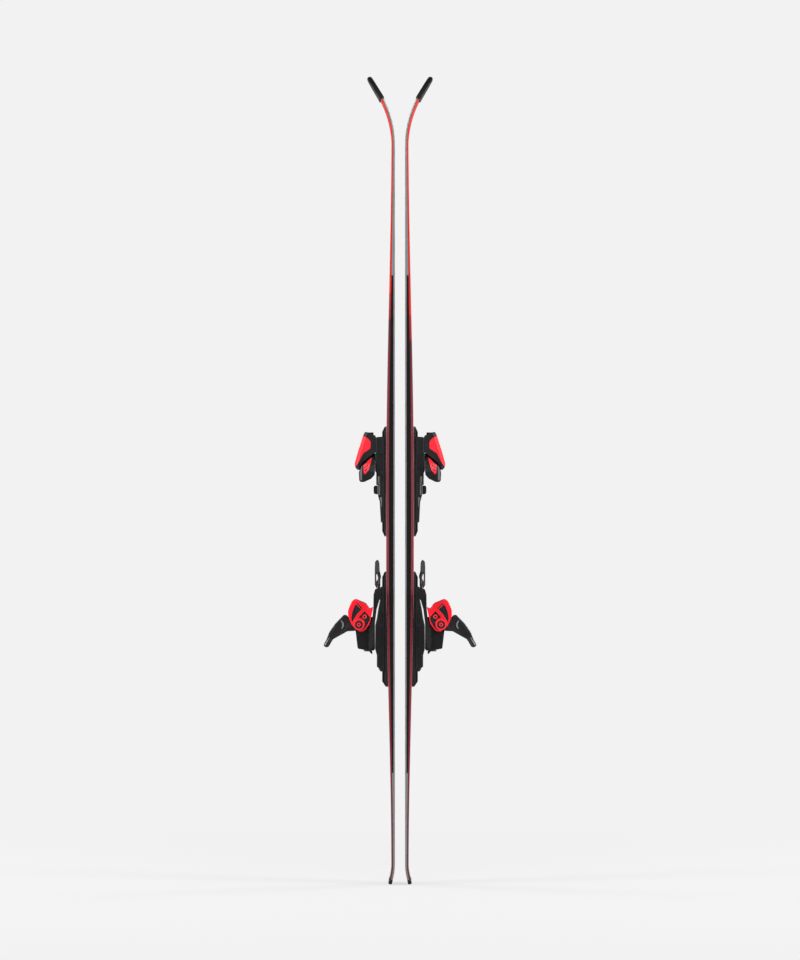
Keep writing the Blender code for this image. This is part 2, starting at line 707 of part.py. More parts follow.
# ---------------------------------------------------------------- assembly

def material(name):
    colour, roughness, metallic = FINISHES[name]
    finish = bpy.data.materials.new(name)
    finish.use_nodes = True
    shader = finish.node_tree.nodes["Principled BSDF"]
    shader.inputs["Base Color"].default_value = colour
    shader.inputs["Roughness"].default_value = roughness
    shader.inputs["Metallic"].default_value = metallic
    finish.diffuse_color = colour
    return finish


def settle_meshes(finishes):
    """Move each mesh to its origin, scale it to metres, shade it and give it its material."""
    for name, mesh, origin, finish, angle in PIECES:
        for vertex in mesh.vertices:
            vertex.co = (vertex.co - origin) * MM
        mesh.shade_smooth()
        mesh.set_sharp_from_angle(angle=angle)
        mesh.materials.clear()
        mesh.materials.append(finishes[finish])
        mesh.name = name


def place_ski(prefix, x, turn):
    """Stand one ski up: an empty holds its frame, and every piece hangs from it."""
    frame = bpy.data.objects.new(prefix + "_ski_frame", None)
    frame.location = (x * MM, 0, 0)
    frame.rotation_euler = (0, 0, turn)
    bpy.context.scene.collection.objects.link(frame)
    for name, mesh, origin, _, _ in PIECES:
        piece = bpy.data.objects.new(prefix + "_" + name, mesh)
        piece.location = origin * MM
        piece.parent = frame
        bpy.context.scene.collection.objects.link(piece)


def main():
    clear_scene()
    make_ski()
    make_toe()
    make_heel()
    make_brake()
    settle_meshes({name: material(name) for name in FINISHES})
    place_ski("left", -BASE_GAP / 2, math.pi)
    place_ski("right", BASE_GAP / 2, 0.0)


main()
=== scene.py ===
"""Looks of a pair of alpine skis with bindings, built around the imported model.

Every piece is drawn once, in millimetres in a ski's own frame, and placed on both skis: x is
the height above the running base, y runs across the ski and z along it from the tail. The
left ski is the right ski turned half round.
"""
from math import cos, hypot, pi, radians, sin, sqrt, tan

import bmesh
import bpy
from mathutils import Matrix, Vector


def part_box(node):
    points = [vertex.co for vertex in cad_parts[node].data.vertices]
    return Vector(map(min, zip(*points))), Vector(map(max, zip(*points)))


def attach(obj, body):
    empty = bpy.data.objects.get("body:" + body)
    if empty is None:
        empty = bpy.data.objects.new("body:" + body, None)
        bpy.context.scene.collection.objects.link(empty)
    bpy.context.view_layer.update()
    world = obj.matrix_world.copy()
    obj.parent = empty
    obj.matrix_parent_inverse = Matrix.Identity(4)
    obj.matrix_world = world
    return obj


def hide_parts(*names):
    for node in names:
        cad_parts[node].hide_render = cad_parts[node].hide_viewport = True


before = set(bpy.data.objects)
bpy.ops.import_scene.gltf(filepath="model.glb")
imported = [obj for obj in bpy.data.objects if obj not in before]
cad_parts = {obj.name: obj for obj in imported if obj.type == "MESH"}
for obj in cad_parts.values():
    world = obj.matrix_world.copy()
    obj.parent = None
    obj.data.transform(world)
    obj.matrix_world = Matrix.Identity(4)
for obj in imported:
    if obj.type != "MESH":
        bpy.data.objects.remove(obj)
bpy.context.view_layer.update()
SCENE = bpy.context.scene

MM = 0.001
HALF_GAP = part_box("right_running_base")[0].x
PLACES = {"right": Matrix.Translation((HALF_GAP, 0, 0)),
          "left": Matrix.Translation((-HALF_GAP, 0, 0)) @ Matrix.Rotation(pi, 4, "Z")}
FINE = 5                          # steps in a rounded corner
SIDES = (-1, 1)                   # the two sides of a ski, as signs of y
OUT, ACROSS, ALONG = (1, 0, 0), (0, 1, 0), (0, 0, 1)

# Ski outline and thickness, in millimetres from the tail.
TAIL_ANGLE, TAIL_STRAIGHT, TAIL_RADIUS = radians(12), 20.7, 90.0
RUNNING_LENGTH = 1481.0
TIP_ANGLE, TIP_RADIUS, TIP_STRAIGHT = radians(31), 200.0, 44.0
SKI_LENGTH = (TAIL_STRAIGHT + TAIL_RADIUS * TAIL_ANGLE + RUNNING_LENGTH
              + TIP_RADIUS * TIP_ANGLE + TIP_STRAIGHT)
TAIL_HALF, WAIST_HALF, SHOVEL_HALF = 51.5, 36.0, 60.48
TAIL_CORNER_AT, WAIST_AT, SHOVEL_AT = 45.0, 740.0, 1530.0
TAIL_THICK, MIDDLE_THICK, SHOVEL_THICK, TIP_THICK = 7.2, 17.9, 7.0, 5.8
THICK_FROM, THICK_TO, THIN_FROM = 690.0, 820.0, 1560.0
LAYERS_START, INNER_START, LAYERS_END = 9.6, 12.1, 1632.0

# Binding: places that several pieces share.
RAIL_TOP = 26.2
WING_PIVOT = (21.0, 874.0)        # y, z
TOE_SPRING_X = 51.0
HEEL_PIVOT = (73.8, 533.7)        # x, z
HEEL_SPRING_X = 57.0
TOWER_HALF, LEVER_HALF, LEVER_TIP_HALF, CUP_HALF = 18.0, 24.0, 17.0, 30.0
SLIDE_HALF, POCKET_FLOOR = 32.0, 31.1       # sides of the toe base and the heel carriage
WORM_X = 29.8
BRAKE_X, BRAKE_Z, ARM_Y, WIRE_RADIUS = 34.5, 598.0, 42.0, 2.3


# ---- small tools

def mix(a, b, t):
    return a + (b - a) * t


def smooth_step(t):
    t = min(max(t, 0.0), 1.0)
    return t * t * (3 - 2 * t)


def linked(name, data):
    """New object in the scene."""
    made = bpy.data.objects.new(name, data)
    SCENE.collection.objects.link(made)
    return made


def mesh_from(bm):
    bmesh.ops.recalc_face_normals(bm, faces=bm.faces)
    mesh = bpy.data.meshes.new("mesh")
    bm.to_mesh(mesh)
    bm.free()
    return mesh


def loft(rings, closed=False):
    """Solid through rings of equally many points, capped at its ends or closed on itself."""
    bm = bmesh.new()
    loops = [[bm.verts.new(p) for p in ring] for ring in rings]
    count = len(loops[0])
    for near, far in zip(loops, loops[1:] + (loops[:1] if closed else [])):
        for i in range(count):
            j = (i + 1) % count
            bm.faces.new((near[i], near[j], far[j], far[i]))
    if not closed:
        bm.faces.new(loops[0])
        bm.faces.new(loops[-1])
    return mesh_from(bm)


def bend(start, corner, end, steps):
    """Points of a curve from start to end that leans towards the corner between them."""
    for k in range(steps + 1):
        t = k / steps
        yield start * (1 - t) ** 2 + corner * 2 * t * (1 - t) + end * t * t


def rounded(profile, radius, steps=FINE):
    """Outline with its corners rounded; nearly straight corners stay as they are."""
    points = [Vector(p) for p in profile]
    smooth = []
    for i, corner in enumerate(points):
        back = points[i - 1] - corner
        ahead = points[(i + 1) % len(points)] - corner
        turn = pi - back.angle(ahead)
        if turn < radians(5):
            smooth.append(corner)
            continue
        reach = min(radius * tan(turn / 2), 0.45 * back.length, 0.45 * ahead.length)
        smooth += bend(corner + back.normalized() * reach, corner,
                       corner + ahead.normalized() * reach, steps)
    return [tuple(p) for p in smooth]


def winding(profile):
    """1 for an outline that runs one way round, -1 for the other way."""
    area = sum(a[0] * b[1] - b[0] * a[1] for a, b in zip(profile, profile[1:] + profile[:1]))
    return 1.0 if area > 0 else -1.0


def inset(profile, distance):
    """Outline moved inwards, or outwards if the distance is negative."""
    points = [Vector(p) for p in profile]
    turn = winding(points)
    moved = []
    for i, corner in enumerate(points):
        into = (corner - points[i - 1]).normalized()
        out = (points[(i + 1) % len(points)] - corner).normalized()
        first = Vector((-into.y, into.x)) * turn
        second = Vector((-out.y, out.x)) * turn
        middle = (first + second).normalized()
        moved.append(tuple(corner + middle * distance / max(middle.dot(first), 0.35)))
    return moved


def rectangle(a_from, b_from, a_to, b_to):
    return [(a_from, b_from), (a_to, b_from), (a_to, b_to), (a_from, b_to)]


def span(half, x, z):
    """Where a piece starts and stops across the ski.

    half is its half width, a function of x and z that gives it, or a pair (from y, to y).
    """
    if isinstance(half, tuple):
        return half
    reach = half(x, z) if callable(half) else half
    return -reach, reach


def moulded(profile, radius, half, edge=1.0, slope=None, steps=4, fine=FINE):
    """Outline drawn across the ski with rounded corners and rounded edges.

    The edges are edge deep across the ski and slope wide within the outline.
    """
    slope = edge if slope is None else slope
    low, high = [], []
    for k in range(steps + 1):
        turn = pi / 2 * k / steps
        back, down = slope * (1 - sin(turn)), edge * (1 - cos(turn))
        ring = rounded(inset(profile, back), max(radius - back, 0.4), fine)
        spans = [(x, z, *span(half, x, z)) for x, z in ring]
        low.append([(x, near + down, z) for x, z, near, _ in spans])
        high.append([(x, far - down, z) for x, z, _, far in spans])
    return loft(low + high[::-1])


def prism(profile, half):
    """Outline of (x, z) points drawn across the ski with sharp edges."""
    return loft([[(x, span(half, x, z)[end], z) for x, z in profile] for end in (0, 1)])


def twins(profile, near, far):
    """The same prism on both sides of the ski."""
    return [prism(profile, (-far, -near)), prism(profile, (near, far))]


def openings(profile, radius, near, far, edge=0.6):
    """Cutters into both sides of a body, from near in to far, which break the edge at near."""
    cutters = []
    for side in SIDES:
        rings = []
        for y, grow in ((far, 0.0), (near - edge, 0.0), (near + 1, edge + 1.0)):
            ring = rounded(inset(profile, -grow), radius + grow)
            rings.append([(x, side * y, z) for x, z in ring])
        cutters.append(loft(rings))
    return cutters


def plate(outline, low, high):
    """Outline of (y, z) points drawn out from height low to height high."""
    return loft([[(x, y, z) for y, z in outline] for x in (low, high)])


def groove(half, z, width, radius, floor):
    """Cutter for a groove across a top."""
    return plate(rounded(rectangle(-half, z, half, z + width), radius, 3), floor, 45)


def axes_of(axis):
    axis = Vector(axis).normalized()
    across = axis.orthogonal().normalized()
    return axis, across, axis.cross(across)


def circle(centre, u, v, radius, sides):
    turns = [2 * pi * i / sides for i in range(sides)]
    return [centre + radius * (u * cos(turn) + v * sin(turn)) for turn in turns]


def turned(start, axis, profile, sides=28):
    """Round solid from a list of (distance along the axis, radius)."""
    axis, u, v = axes_of(axis)
    return loft([circle(Vector(start) + axis * along, u, v, radius, sides)
                 for along, radius in profile])


def rod(start, axis, length, radius, sides=28):
    return turned(start, axis, [(0, radius), (length, radius)], sides)


def crossbar(x, z, reach, radius, sides=28):
    """Rod across the ski."""
    return rod((x, -reach, z), ACROSS, 2 * reach, radius, sides)


def flat_ring(centre, side, y, inner, outer, height, sides=40):
    """Raised ring with rounded edges on a face that looks along y."""
    soft = min(0.35, height / 2)
    section = [(0, inner), (height - soft, inner), (height, inner + soft),
               (height, outer - soft), (height - soft, outer), (0, outer)]
    axis, u, v = axes_of((0, side, 0))
    start = Vector((centre[0], side * y, centre[1]))
    rings = []
    for i in range(sides):
        turn = 2 * pi * i / sides
        out = u * cos(turn) + v * sin(turn)
        rings.append([start + axis * a + out * r for a, r in section])
    return loft(rings, closed=True)


def spline(points, steps=6):
    """Smooth curve through points."""
    points = [Vector(p) for p in points]
    padded = [points[0] * 2 - points[1]] + points + [points[-1] * 2 - points[-2]]
    curve = []
    for a, b, c, d in zip(padded, padded[1:], padded[2:], padded[3:]):
        for k in range(steps):
            t = k / steps
            curve.append(0.5 * (2 * b + (c - a) * t + (2 * a - 5 * b + 4 * c - d) * t * t
                                + (3 * b - a - 3 * c + d) * t ** 3))
    return curve + [points[-1]]


def tube(points, radius, sides=12):
    """Round bar along a path."""
    points = [Vector(p) for p in points]
    side = None
    rings = []
    for i, point in enumerate(points):
        forward = points[min(i + 1, len(points) - 1)] - points[max(i - 1, 0)]
        forward.normalize()
        side = forward.orthogonal() if side is None else side - forward * side.dot(forward)
        side.normalize()
        rings.append(circle(point, side, forward.cross(side), radius, sides))
    return loft(rings)


def coil(x, z_from, z_to, radius, wire, turns):
    """Spring around a line along the ski."""
    count = int(turns * 24)
    points = []
    for i in range(count + 1):
        turn = 2 * pi * turns * i / count
        points.append((x + radius * cos(turn), radius * sin(turn),
                       mix(z_from, z_to, i / count)))
    return tube(points, wire, 10)


def evaluated(mesh, kind, **settings):
    """The mesh as one modifier leaves it."""
    work = linked("work", mesh)
    modifier = work.modifiers.new("step", kind)
    for key, value in settings.items():
        setattr(modifier, key, value)
    bpy.context.view_layer.update()
    depsgraph = bpy.context.evaluated_depsgraph_get()
    result = bpy.data.meshes.new_from_object(work.evaluated_get(depsgraph))
    bpy.data.objects.remove(work)
    return result


def combined(mesh, tools, operation):
    for tool in tools:
        cutter = linked("cutter", tool)
        mesh = evaluated(mesh, "BOOLEAN", operation=operation, object=cutter)
        bpy.data.objects.remove(cutter)
    return mesh


def cut(mesh, *tools):
    return combined(mesh, tools, "DIFFERENCE")


def join(mesh, *tools):
    return combined(mesh, tools, "UNION")


def keep(mesh, tool):
    return combined(mesh, [tool], "INTERSECT")


def gathered(meshes):
    """Several separate solids as one mesh."""
    bm = bmesh.new()
    for mesh in meshes:
        bm.from_mesh(mesh)
    result = bpy.data.meshes.new("group")
    bm.to_mesh(result)
    bm.free()
    return result


def eased(mesh, width=0.5, angle=35, segments=2):
    """Break the sharp edges of a solid."""
    bm = bmesh.new()
    bm.from_mesh(mesh)
    bmesh.ops.remove_doubles(bm, verts=bm.verts, dist=0.02)
    bmesh.ops.dissolve_limit(bm, angle_limit=radians(0.5), verts=bm.verts, edges=bm.edges)
    return evaluated(mesh_from(bm), "BEVEL", width=width, segments=segments,
                     limit_method="ANGLE", angle_limit=radians(angle),
                     use_clamp_overlap=False)


def chamfered(profile, edges, half, deep, wide):
    """Outline drawn across the ski, with wide flat chamfers along some of its edges.

    deep is the chamfer's size across the ski and wide its size within the outline.
    """
    bm = bmesh.new()
    bm.from_mesh(prism(profile, half))
    turn = winding(profile)
    for a, b in edges:
        a, b = Vector(a), Vector(b)
        into = Vector((-(b - a).y, (b - a).x)).normalized() * turn
        inner = (a + b) / 2 + into * wide
        for side in SIDES:
            low = Vector((a.x, side * (half(*a) - deep), a.y))
            other = Vector((b.x, side * (half(*b) - deep), b.y))
            high = Vector((inner.x, side * half(*inner), inner.y))
            normal = (other - low).cross(high - low).normalized()
            if normal.dot(Vector((-into.x, side, -into.y))) < 0:
                normal = -normal
            found = bmesh.ops.bisect_plane(bm, geom=bm.verts[:] + bm.edges[:] + bm.faces[:],
                                           plane_co=low, plane_no=normal, clear_outer=True)
            rim = [e for e in found["geom_cut"] if isinstance(e, bmesh.types.BMEdge)]
            if rim:
                bmesh.ops.edgeloop_fill(bm, edges=rim)
    return mesh_from(bm)


def mirrored(mesh):
    """Mirror image across the ski's middle plane."""
    other = mesh.copy()
    for vertex in other.vertices:
        vertex.co.y = -vertex.co.y
    other.flip_normals()
    return other


def publish(name, mesh, body, finish, node="", smooth=40, paint=None):
    """Place a piece on both skis, in place of the model's node if one is named.

    finish may be a list; paint then gives the number of a face's finish.
    """
    mesh.materials.clear()
    for material in finish if isinstance(finish, list) else [finish]:
        mesh.materials.append(material)
    if paint:
        for face in mesh.polygons:
            face.material_index = paint(face)
    for vertex in mesh.vertices:
        vertex.co *= MM
    mesh.shade_smooth()
    mesh.set_sharp_from_angle(angle=radians(smooth))
    mesh = evaluated(mesh, "WEIGHTED_NORMAL", keep_sharp=True)
    mesh.name = name
    for side, place in PLACES.items():
        piece = linked(f"{side}_{name}", mesh)
        piece.matrix_world = place
        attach(piece, f"{side}_{body}")
        if node:
            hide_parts(f"{side}_{node}")


def publish_pair(name, mesh, body, finish, node="", smooth=40):
    """Publish a piece drawn at y > 0 as b and its mirror image as a.

    A * in the names of the body and the node stands for the letter.
    """
    for letter, shape in (("a", mirrored(mesh)), ("b", mesh)):
        publish(f"{name}_{letter}", shape, body.replace("*", letter), finish,
                node.replace("*", letter), smooth)


# ---- materials

def linear(red, green, blue):
    """Screen colour, 0 to 255, as the linear colour that a shader takes."""
    values = []
    for part in (red, green, blue):
        c = part / 255
        values.append(c / 12.92 if c <= 0.04045 else ((c + 0.055) / 1.055) ** 2.4)
    return tuple(values) + (1.0,)


def shaded(colour, amount):
    """Linear colour made darker."""
    return tuple(c * amount for c in colour[:3]) + (1.0,)


class Finish:
    """Node material built step by step, in the piece's own coordinates, in metres."""

    def __init__(self, name):
        self.material = bpy.data.materials.new(name)
        self.material.use_nodes = True
        self.nodes = self.material.node_tree.nodes
        self.links = self.material.node_tree.links
        self.shader = self.nodes["Principled BSDF"]
        self.place = self.nodes.new("ShaderNodeTexCoord").outputs["Object"]

    def feed(self, socket, value):
        """Link a node's output to the socket, or give the socket a plain value."""
        if isinstance(value, bpy.types.NodeSocket):
            self.links.new(value, socket)
        else:
            socket.default_value = value

    def node(self, kind, *values, out=0, settings=(), **inputs):
        """Output of a new node. values feed its first inputs, inputs feed the ones they name."""
        made = self.nodes.new("ShaderNode" + kind)
        for key, value in settings:
            setattr(made, key, value)
        for socket, value in zip(made.inputs, values):
            self.feed(socket, value)
        for key, value in inputs.items():
            self.feed(made.inputs[key.replace("_", " ")], value)
        return made.outputs[out]

    def set(self, **values):
        for key, value in values.items():
            self.feed(self.shader.inputs[key.replace("_", " ")], value)

    def math(self, operation, *values, clamp=False):
        return self.node("Math", *values,
                         settings=[("operation", operation), ("use_clamp", clamp)])

    def times(self, first, second):
        return self.math("MULTIPLY", first, second)

    def noise(self, scale, detail=3.0, roughness=0.55, stretch=None, turn=(0, 0, 0)):
        place = self.place
        if stretch:
            place = self.node("Mapping", Vector=place, Scale=stretch, Rotation=turn)
        return self.node("TexNoise", out="Fac", Vector=place, Scale=scale, Detail=detail,
                         Roughness=roughness)

    def part(self, axis):
        return self.node("SeparateXYZ", self.place, out=axis)

    def range(self, value, low, high, to_low=0.0, to_high=1.0, shape="LINEAR"):
        return self.node("MapRange", value, low, high, to_low, to_high,
                         settings=[("interpolation_type", shape)])

    def blend(self, amount, first, second):
        made = self.nodes.new("ShaderNodeMix")
        made.data_type = "RGBA"
        for socket, value in ((0, amount), (6, first), (7, second)):
            self.feed(made.inputs[socket], value)
        return made.outputs[2]

    def ramp(self, value, stops):
        made = self.nodes.new("ShaderNodeValToRGB")
        self.feed(made.inputs[0], value)
        elements = made.color_ramp.elements
        while len(elements) < len(stops):
            elements.new(0.5)
        for element, (at, colour) in zip(elements, stops):
            element.position = at
            element.color = colour
        return made.outputs[0]

    def edges(self, amount):
        """amount along worn outer edges, 0 elsewhere."""
        edge = self.range(self.node("NewGeometry", out="Pointiness"), 0.53, 0.62, 0.0, amount)
        return self.math("MULTIPLY", edge, self.noise(220.0, 2.0), clamp=True)

    def bump(self, height, strength, distance=0.0001):
        self.set(Normal=self.node("Bump", Strength=strength, Distance=distance, Height=height))


def plastic(name, colour, edge_colour, rough, grain=0.35, coat=0.0):
    """Moulded nylon: fine spark-eroded grain, faint flow marks, slightly polished edges."""
    finish = Finish(name)
    colour = linear(*colour)
    flow = finish.range(finish.noise(18.0, 4.0, 0.6, (1, 1, 0.25)), 0.35, 0.7)
    body = finish.blend(flow, shaded(colour, 0.78), colour)
    fine = finish.noise(2600.0, 2.0)
    uneven = finish.range(finish.noise(60.0), 0.3, 0.7, rough - 0.06, rough + 0.07)
    finish.set(Base_Color=finish.blend(finish.edges(0.9), body, linear(*edge_colour)),
               Roughness=finish.math("ADD", uneven, finish.times(fine, 0.05)),
               Specular_IOR_Level=0.2)
    finish.bump(fine, grain, 0.00012)
    if coat:
        finish.set(Coat_Weight=coat, Coat_Roughness=0.22)
    return finish.material


def metal(name, colour, rough, stretch=(1, 1, 1), metallic=1.0):
    """Steel with fine lines drawn along one direction and cloudy patches."""
    finish = Finish(name)
    colour = linear(*colour)
    lines = finish.noise(900.0, 3.0, 0.6, stretch)
    cloud = finish.noise(25.0, 4.0)
    tone = finish.math("ADD", finish.times(lines, 0.6), finish.times(cloud, 0.3))
    finish.set(Base_Color=finish.blend(finish.range(tone, 0.2, 0.75), shaded(colour, 0.62),
                                       colour),
               Metallic=metallic,
               Roughness=finish.range(lines, 0.3, 0.75, rough - 0.08, rough + 0.12))
    finish.bump(lines, 0.3)
    return finish.material


def along_ski(finish, stops, shift=0.0):
    """Colour ramp along the ski, from screen colours at millimetres from the tail.

    The two sides of the ski may start their colours shift apart, either way from the stops.
    """
    side = finish.math("SIGN", finish.part("Y"))
    place = finish.math("SUBTRACT", finish.part("Z"), finish.times(side, shift * MM))
    along = finish.range(place, 0.0, SKI_LENGTH * MM)
    return finish.ramp(along, [(z / SKI_LENGTH, linear(*colour)) for z, colour in stops])


def rim_finish():
    """Rolled side of the topsheet: bright at the tip, crimson along the middle."""
    finish = Finish("topsheet_rim")
    colour = along_ski(finish, [
        (0, (98, 36, 50)), (170, (100, 46, 60)), (300, (116, 36, 48)), (390, (118, 44, 54)),
        (670, (124, 48, 58)), (990, (112, 44, 54)), (1090, (98, 36, 46)), (1139, (80, 30, 46)),
        (1141, (140, 38, 44)), (1193, (156, 38, 42)), (1195, (204, 40, 34)),
        (1250, (176, 38, 38)), (1340, (184, 38, 36)), (1560, (206, 42, 32)),
        (SKI_LENGTH, (212, 44, 34))], shift=22.5)
    stripe = finish.noise(420.0, 2.0, 0.5, (1, 1, 0.02))
    deep = finish.node("HueSaturation", Color=colour, Value=0.86)
    finish.set(Base_Color=finish.blend(finish.range(stripe, 0.35, 0.65), deep, colour),
               Roughness=finish.range(finish.noise(90.0), 0.3, 0.7, 0.48, 0.6),
               Specular_IOR_Level=0.06)
    finish.bump(finish.noise(1500.0, 2.0), 0.1)
    return finish.material


def graphic_finish():
    """Top face: a red to black fade, diagonal bands towards both ends and a pale pinstripe."""
    finish = Finish("topsheet_graphic")
    ink, red = (30, 29, 31), (204, 34, 34)
    fade = along_ski(finish, [
        (0, (92, 30, 40)), (280, ink), (430, ink), (900, (44, 26, 30)), (1080, (96, 34, 42)),
        (1250, (182, 38, 40)), (1420, red), (SKI_LENGTH, red)])
    z = finish.part("Z")
    side = finish.math("ABSOLUTE", finish.part("Y"))
    slant = finish.math("ADD", z, finish.times(side, 1.9))
    repeat = finish.math("FRACT", finish.times(slant, 9.0))
    reach = finish.math("MAXIMUM", finish.range(slant, 1.05, 1.5),
                        finish.range(slant, 0.42, 0.16))
    band = finish.times(finish.math("LESS_THAN", repeat, finish.times(reach, 0.42)),
                        finish.math("GREATER_THAN", reach, 0.02))
    dark = finish.node("HueSaturation", Color=fade, Saturation=1.05, Value=0.3)
    colour = finish.blend(band, fade, dark)
    line = finish.times(finish.math("GREATER_THAN", side, 0.0265),
                        finish.math("LESS_THAN", side, 0.0277))
    run = finish.math("MINIMUM", finish.range(z, 0.3, 0.42), finish.range(z, 1.36, 1.2))
    line = finish.times(line, finish.times(run, 0.6))
    colour = finish.blend(line, colour, linear(190, 180, 182))
    flake = finish.node("TexVoronoi", out="Distance", Vector=finish.place, Scale=900.0)
    sparkle = finish.range(flake, 0.1, 0.35, 0.18, 0.0)
    scuff = finish.noise(45.0, 5.0, 0.65, (1, 1, 0.3))
    finish.set(Base_Color=finish.blend(sparkle, colour, linear(225, 120, 116)),
               Roughness=finish.range(scuff, 0.35, 0.7, 0.2, 0.38),
               Specular_IOR_Level=0.2, Coat_Weight=0.2, Coat_Roughness=0.15)
    finish.bump(finish.noise(700.0, 2.0), 0.08)
    return finish.material


def sidewall_finish():
    """Milled sidewall: black under the binding, grey towards both ends."""
    finish = Finish("sidewall_milled")
    z = finish.part("Z")
    ends = finish.math("MAXIMUM", finish.range(z, 1.2505, 1.2515),
                       finish.range(z, 0.2302, 0.2292))
    grey = finish.math("MAXIMUM", ends, finish.range(finish.part("X"), 0.0031, 0.0030))
    milling = finish.noise(1400.0, 3.0, 0.6, (1, 1, 0.03))
    black = finish.blend(milling, linear(14, 14, 15), linear(22, 22, 23))
    pale = finish.blend(milling, linear(112, 112, 110), linear(126, 126, 123))
    finish.set(Base_Color=finish.blend(grey, black, pale), Specular_IOR_Level=0.1,
               Roughness=finish.range(milling, 0.3, 0.7, 0.38, 0.55))
    finish.bump(milling, 0.3)
    return finish.material


def base_finish():
    """Sintered base: stone-ground lines at two shallow angles, wax haze."""
    finish = Finish("running_base")
    lines = finish.noise(1600.0, 2.0, 0.5, (1, 1, 0.012))
    crossing = finish.noise(1300.0, 2.0, 0.5, (1, 1, 0.015), (0.09, 0, 0))
    grind = finish.times(finish.math("ADD", lines, crossing), 0.5)
    haze = finish.noise(9.0, 4.0, 0.6, (1, 1, 0.4))
    dark = finish.blend(grind, linear(26, 26, 28), linear(52, 52, 55))
    finish.set(Base_Color=finish.blend(finish.range(haze, 0.45, 0.8, 0.0, 0.25), dark,
                                       linear(96, 96, 100)),
               Roughness=finish.range(haze, 0.3, 0.7, 0.3, 0.48))
    finish.bump(grind, 0.45)
    return finish.material


def wood_finish():
    finish = Finish("core_wood")
    grain = finish.noise(160.0, 5.0, 0.6, (1, 1, 0.03))
    finish.set(Base_Color=finish.blend(grain, linear(150, 112, 72), linear(214, 180, 132)),
               Roughness=0.65)
    finish.bump(grain, 0.2, 0.0002)
    return finish.material


BLACK = plastic("nylon_black", (22, 22, 24), (70, 70, 72), 0.42)
SOFT_BLACK = plastic("nylon_soft_black", (17, 17, 18), (60, 60, 62), 0.55, 0.5)
LEVER_GREY = plastic("nylon_lever", (30, 30, 32), (110, 110, 112), 0.32, 0.25, 0.1)
GREY = plastic("nylon_grey", (96, 96, 98), (150, 150, 152), 0.42)
RED = plastic("nylon_red", (250, 24, 44), (255, 96, 104), 0.34, 0.2, 0.2)
# Pale grey, used only for a painted highlight along the lever's tip.
HIGHLIGHT_PALE_GREY = plastic("painted_highlight_grey", (150, 150, 152), (190, 190, 192), 0.35)
PEDAL_GREY = plastic("nylon_pedal", (62, 62, 64), (140, 140, 142), 0.34, 0.25)
DEEP_RED = plastic("nylon_deep_red", (120, 22, 36), (190, 80, 90), 0.4)
WHITE = plastic("scale_marks", (226, 226, 226), (250, 250, 250), 0.5)
GRIP = plastic("nylon_grip", (24, 24, 26), (58, 58, 60), 0.6)
EDGE_STEEL = metal("edge_steel", (156, 156, 159), 0.38, (1, 1, 0.02), 0.6)
SCREW_STEEL = metal("screw_steel", (190, 190, 192), 0.3)
SPRING_STEEL = metal("spring_steel", (150, 150, 154), 0.35)
DARK_STEEL = metal("blackened_steel", (84, 84, 88), 0.36)
WIRE_STEEL = metal("wire_black_steel", (74, 74, 78), 0.4, (1, 1, 0.2))
RIM, GRAPHIC, SIDEWALL = rim_finish(), graphic_finish(), sidewall_finish()
BASE, WOOD = base_finish(), wood_finish()


# ---- skis

def base_line(s):
    """Point (x, z) and angle of the base at length s from the tail."""
    x = TAIL_STRAIGHT * sin(TAIL_ANGLE) + TAIL_RADIUS * (1 - cos(TAIL_ANGLE))
    z = 0.0
    angle = -TAIL_ANGLE
    for length, radius in ((TAIL_STRAIGHT, None), (TAIL_RADIUS * TAIL_ANGLE, TAIL_RADIUS),
                           (RUNNING_LENGTH, None), (TIP_RADIUS * TIP_ANGLE, TIP_RADIUS),
                           (TIP_STRAIGHT * 2, None)):
        run = min(s, length)
        turn = run / radius if radius else 0.0
        chord = 2 * radius * sin(turn / 2) if radius else run
        x += chord * sin(angle + turn / 2)
        z += chord * cos(angle + turn / 2)
        angle += turn
        s -= run
    return x, z, angle


def thickness(s):
    if s < THICK_TO:
        return mix(TAIL_THICK, MIDDLE_THICK, smooth_step((s - 30) / (THICK_FROM - 30)))
    if s < THIN_FROM:
        fall = smooth_step((s - THICK_TO) / (THIN_FROM - THICK_TO))
        return mix(MIDDLE_THICK, SHOVEL_THICK, fall)
    return mix(SHOVEL_THICK, TIP_THICK, (s - THIN_FROM) / (LAYERS_END - THIN_FROM))


def half_width(s):
    """Half the width of the ski: round tail, sidecut in two parts and round tip."""
    if s < TAIL_CORNER_AT:
        return TAIL_HALF * (1 - ((TAIL_CORNER_AT - s) / 60) ** 2.5) ** 0.4
    if s < WAIST_AT:
        reach = (WAIST_AT - s) / (WAIST_AT - TAIL_CORNER_AT)
        return WAIST_HALF + (TAIL_HALF - WAIST_HALF) * reach ** 2
    if s < SHOVEL_AT:
        reach = (s - WAIST_AT) / (SHOVEL_AT - WAIST_AT)
        return WAIST_HALF + (SHOVEL_HALF - WAIST_HALF) * reach ** 2
    reach = min((s - SHOVEL_AT) / (SKI_LENGTH - SHOVEL_AT), 1.0)
    return SHOVEL_HALF * (1 - reach ** 2.4) ** 0.5


def side_height(s):
    """Height of the rolled rim of the topsheet."""
    return 3.0 + 2.6 * (thickness(s) - SHOVEL_THICK) / (MIDDLE_THICK - SHOVEL_THICK)


def both(half):
    """Closed section from its half at y > 0."""
    return list(half) + [(-y, n) for y, n in reversed(half)]


def across(s, ring):
    """Section square to the base at length s, from (y, height) points."""
    x, z, angle = base_line(s)
    return [Vector((x + n * cos(angle), y, z - n * sin(angle))) for y, n in ring]


def stations(start, end=LAYERS_END):
    """Lengths of the sections: every 3 mm where the ski bends, wider apart elsewhere."""
    lengths = [start]
    while lengths[-1] < end - 5:
        s = lengths[-1]
        lengths.append(s + (3.0 if s < 44 or s > 1515 else 18.0))
    return lengths + [end]


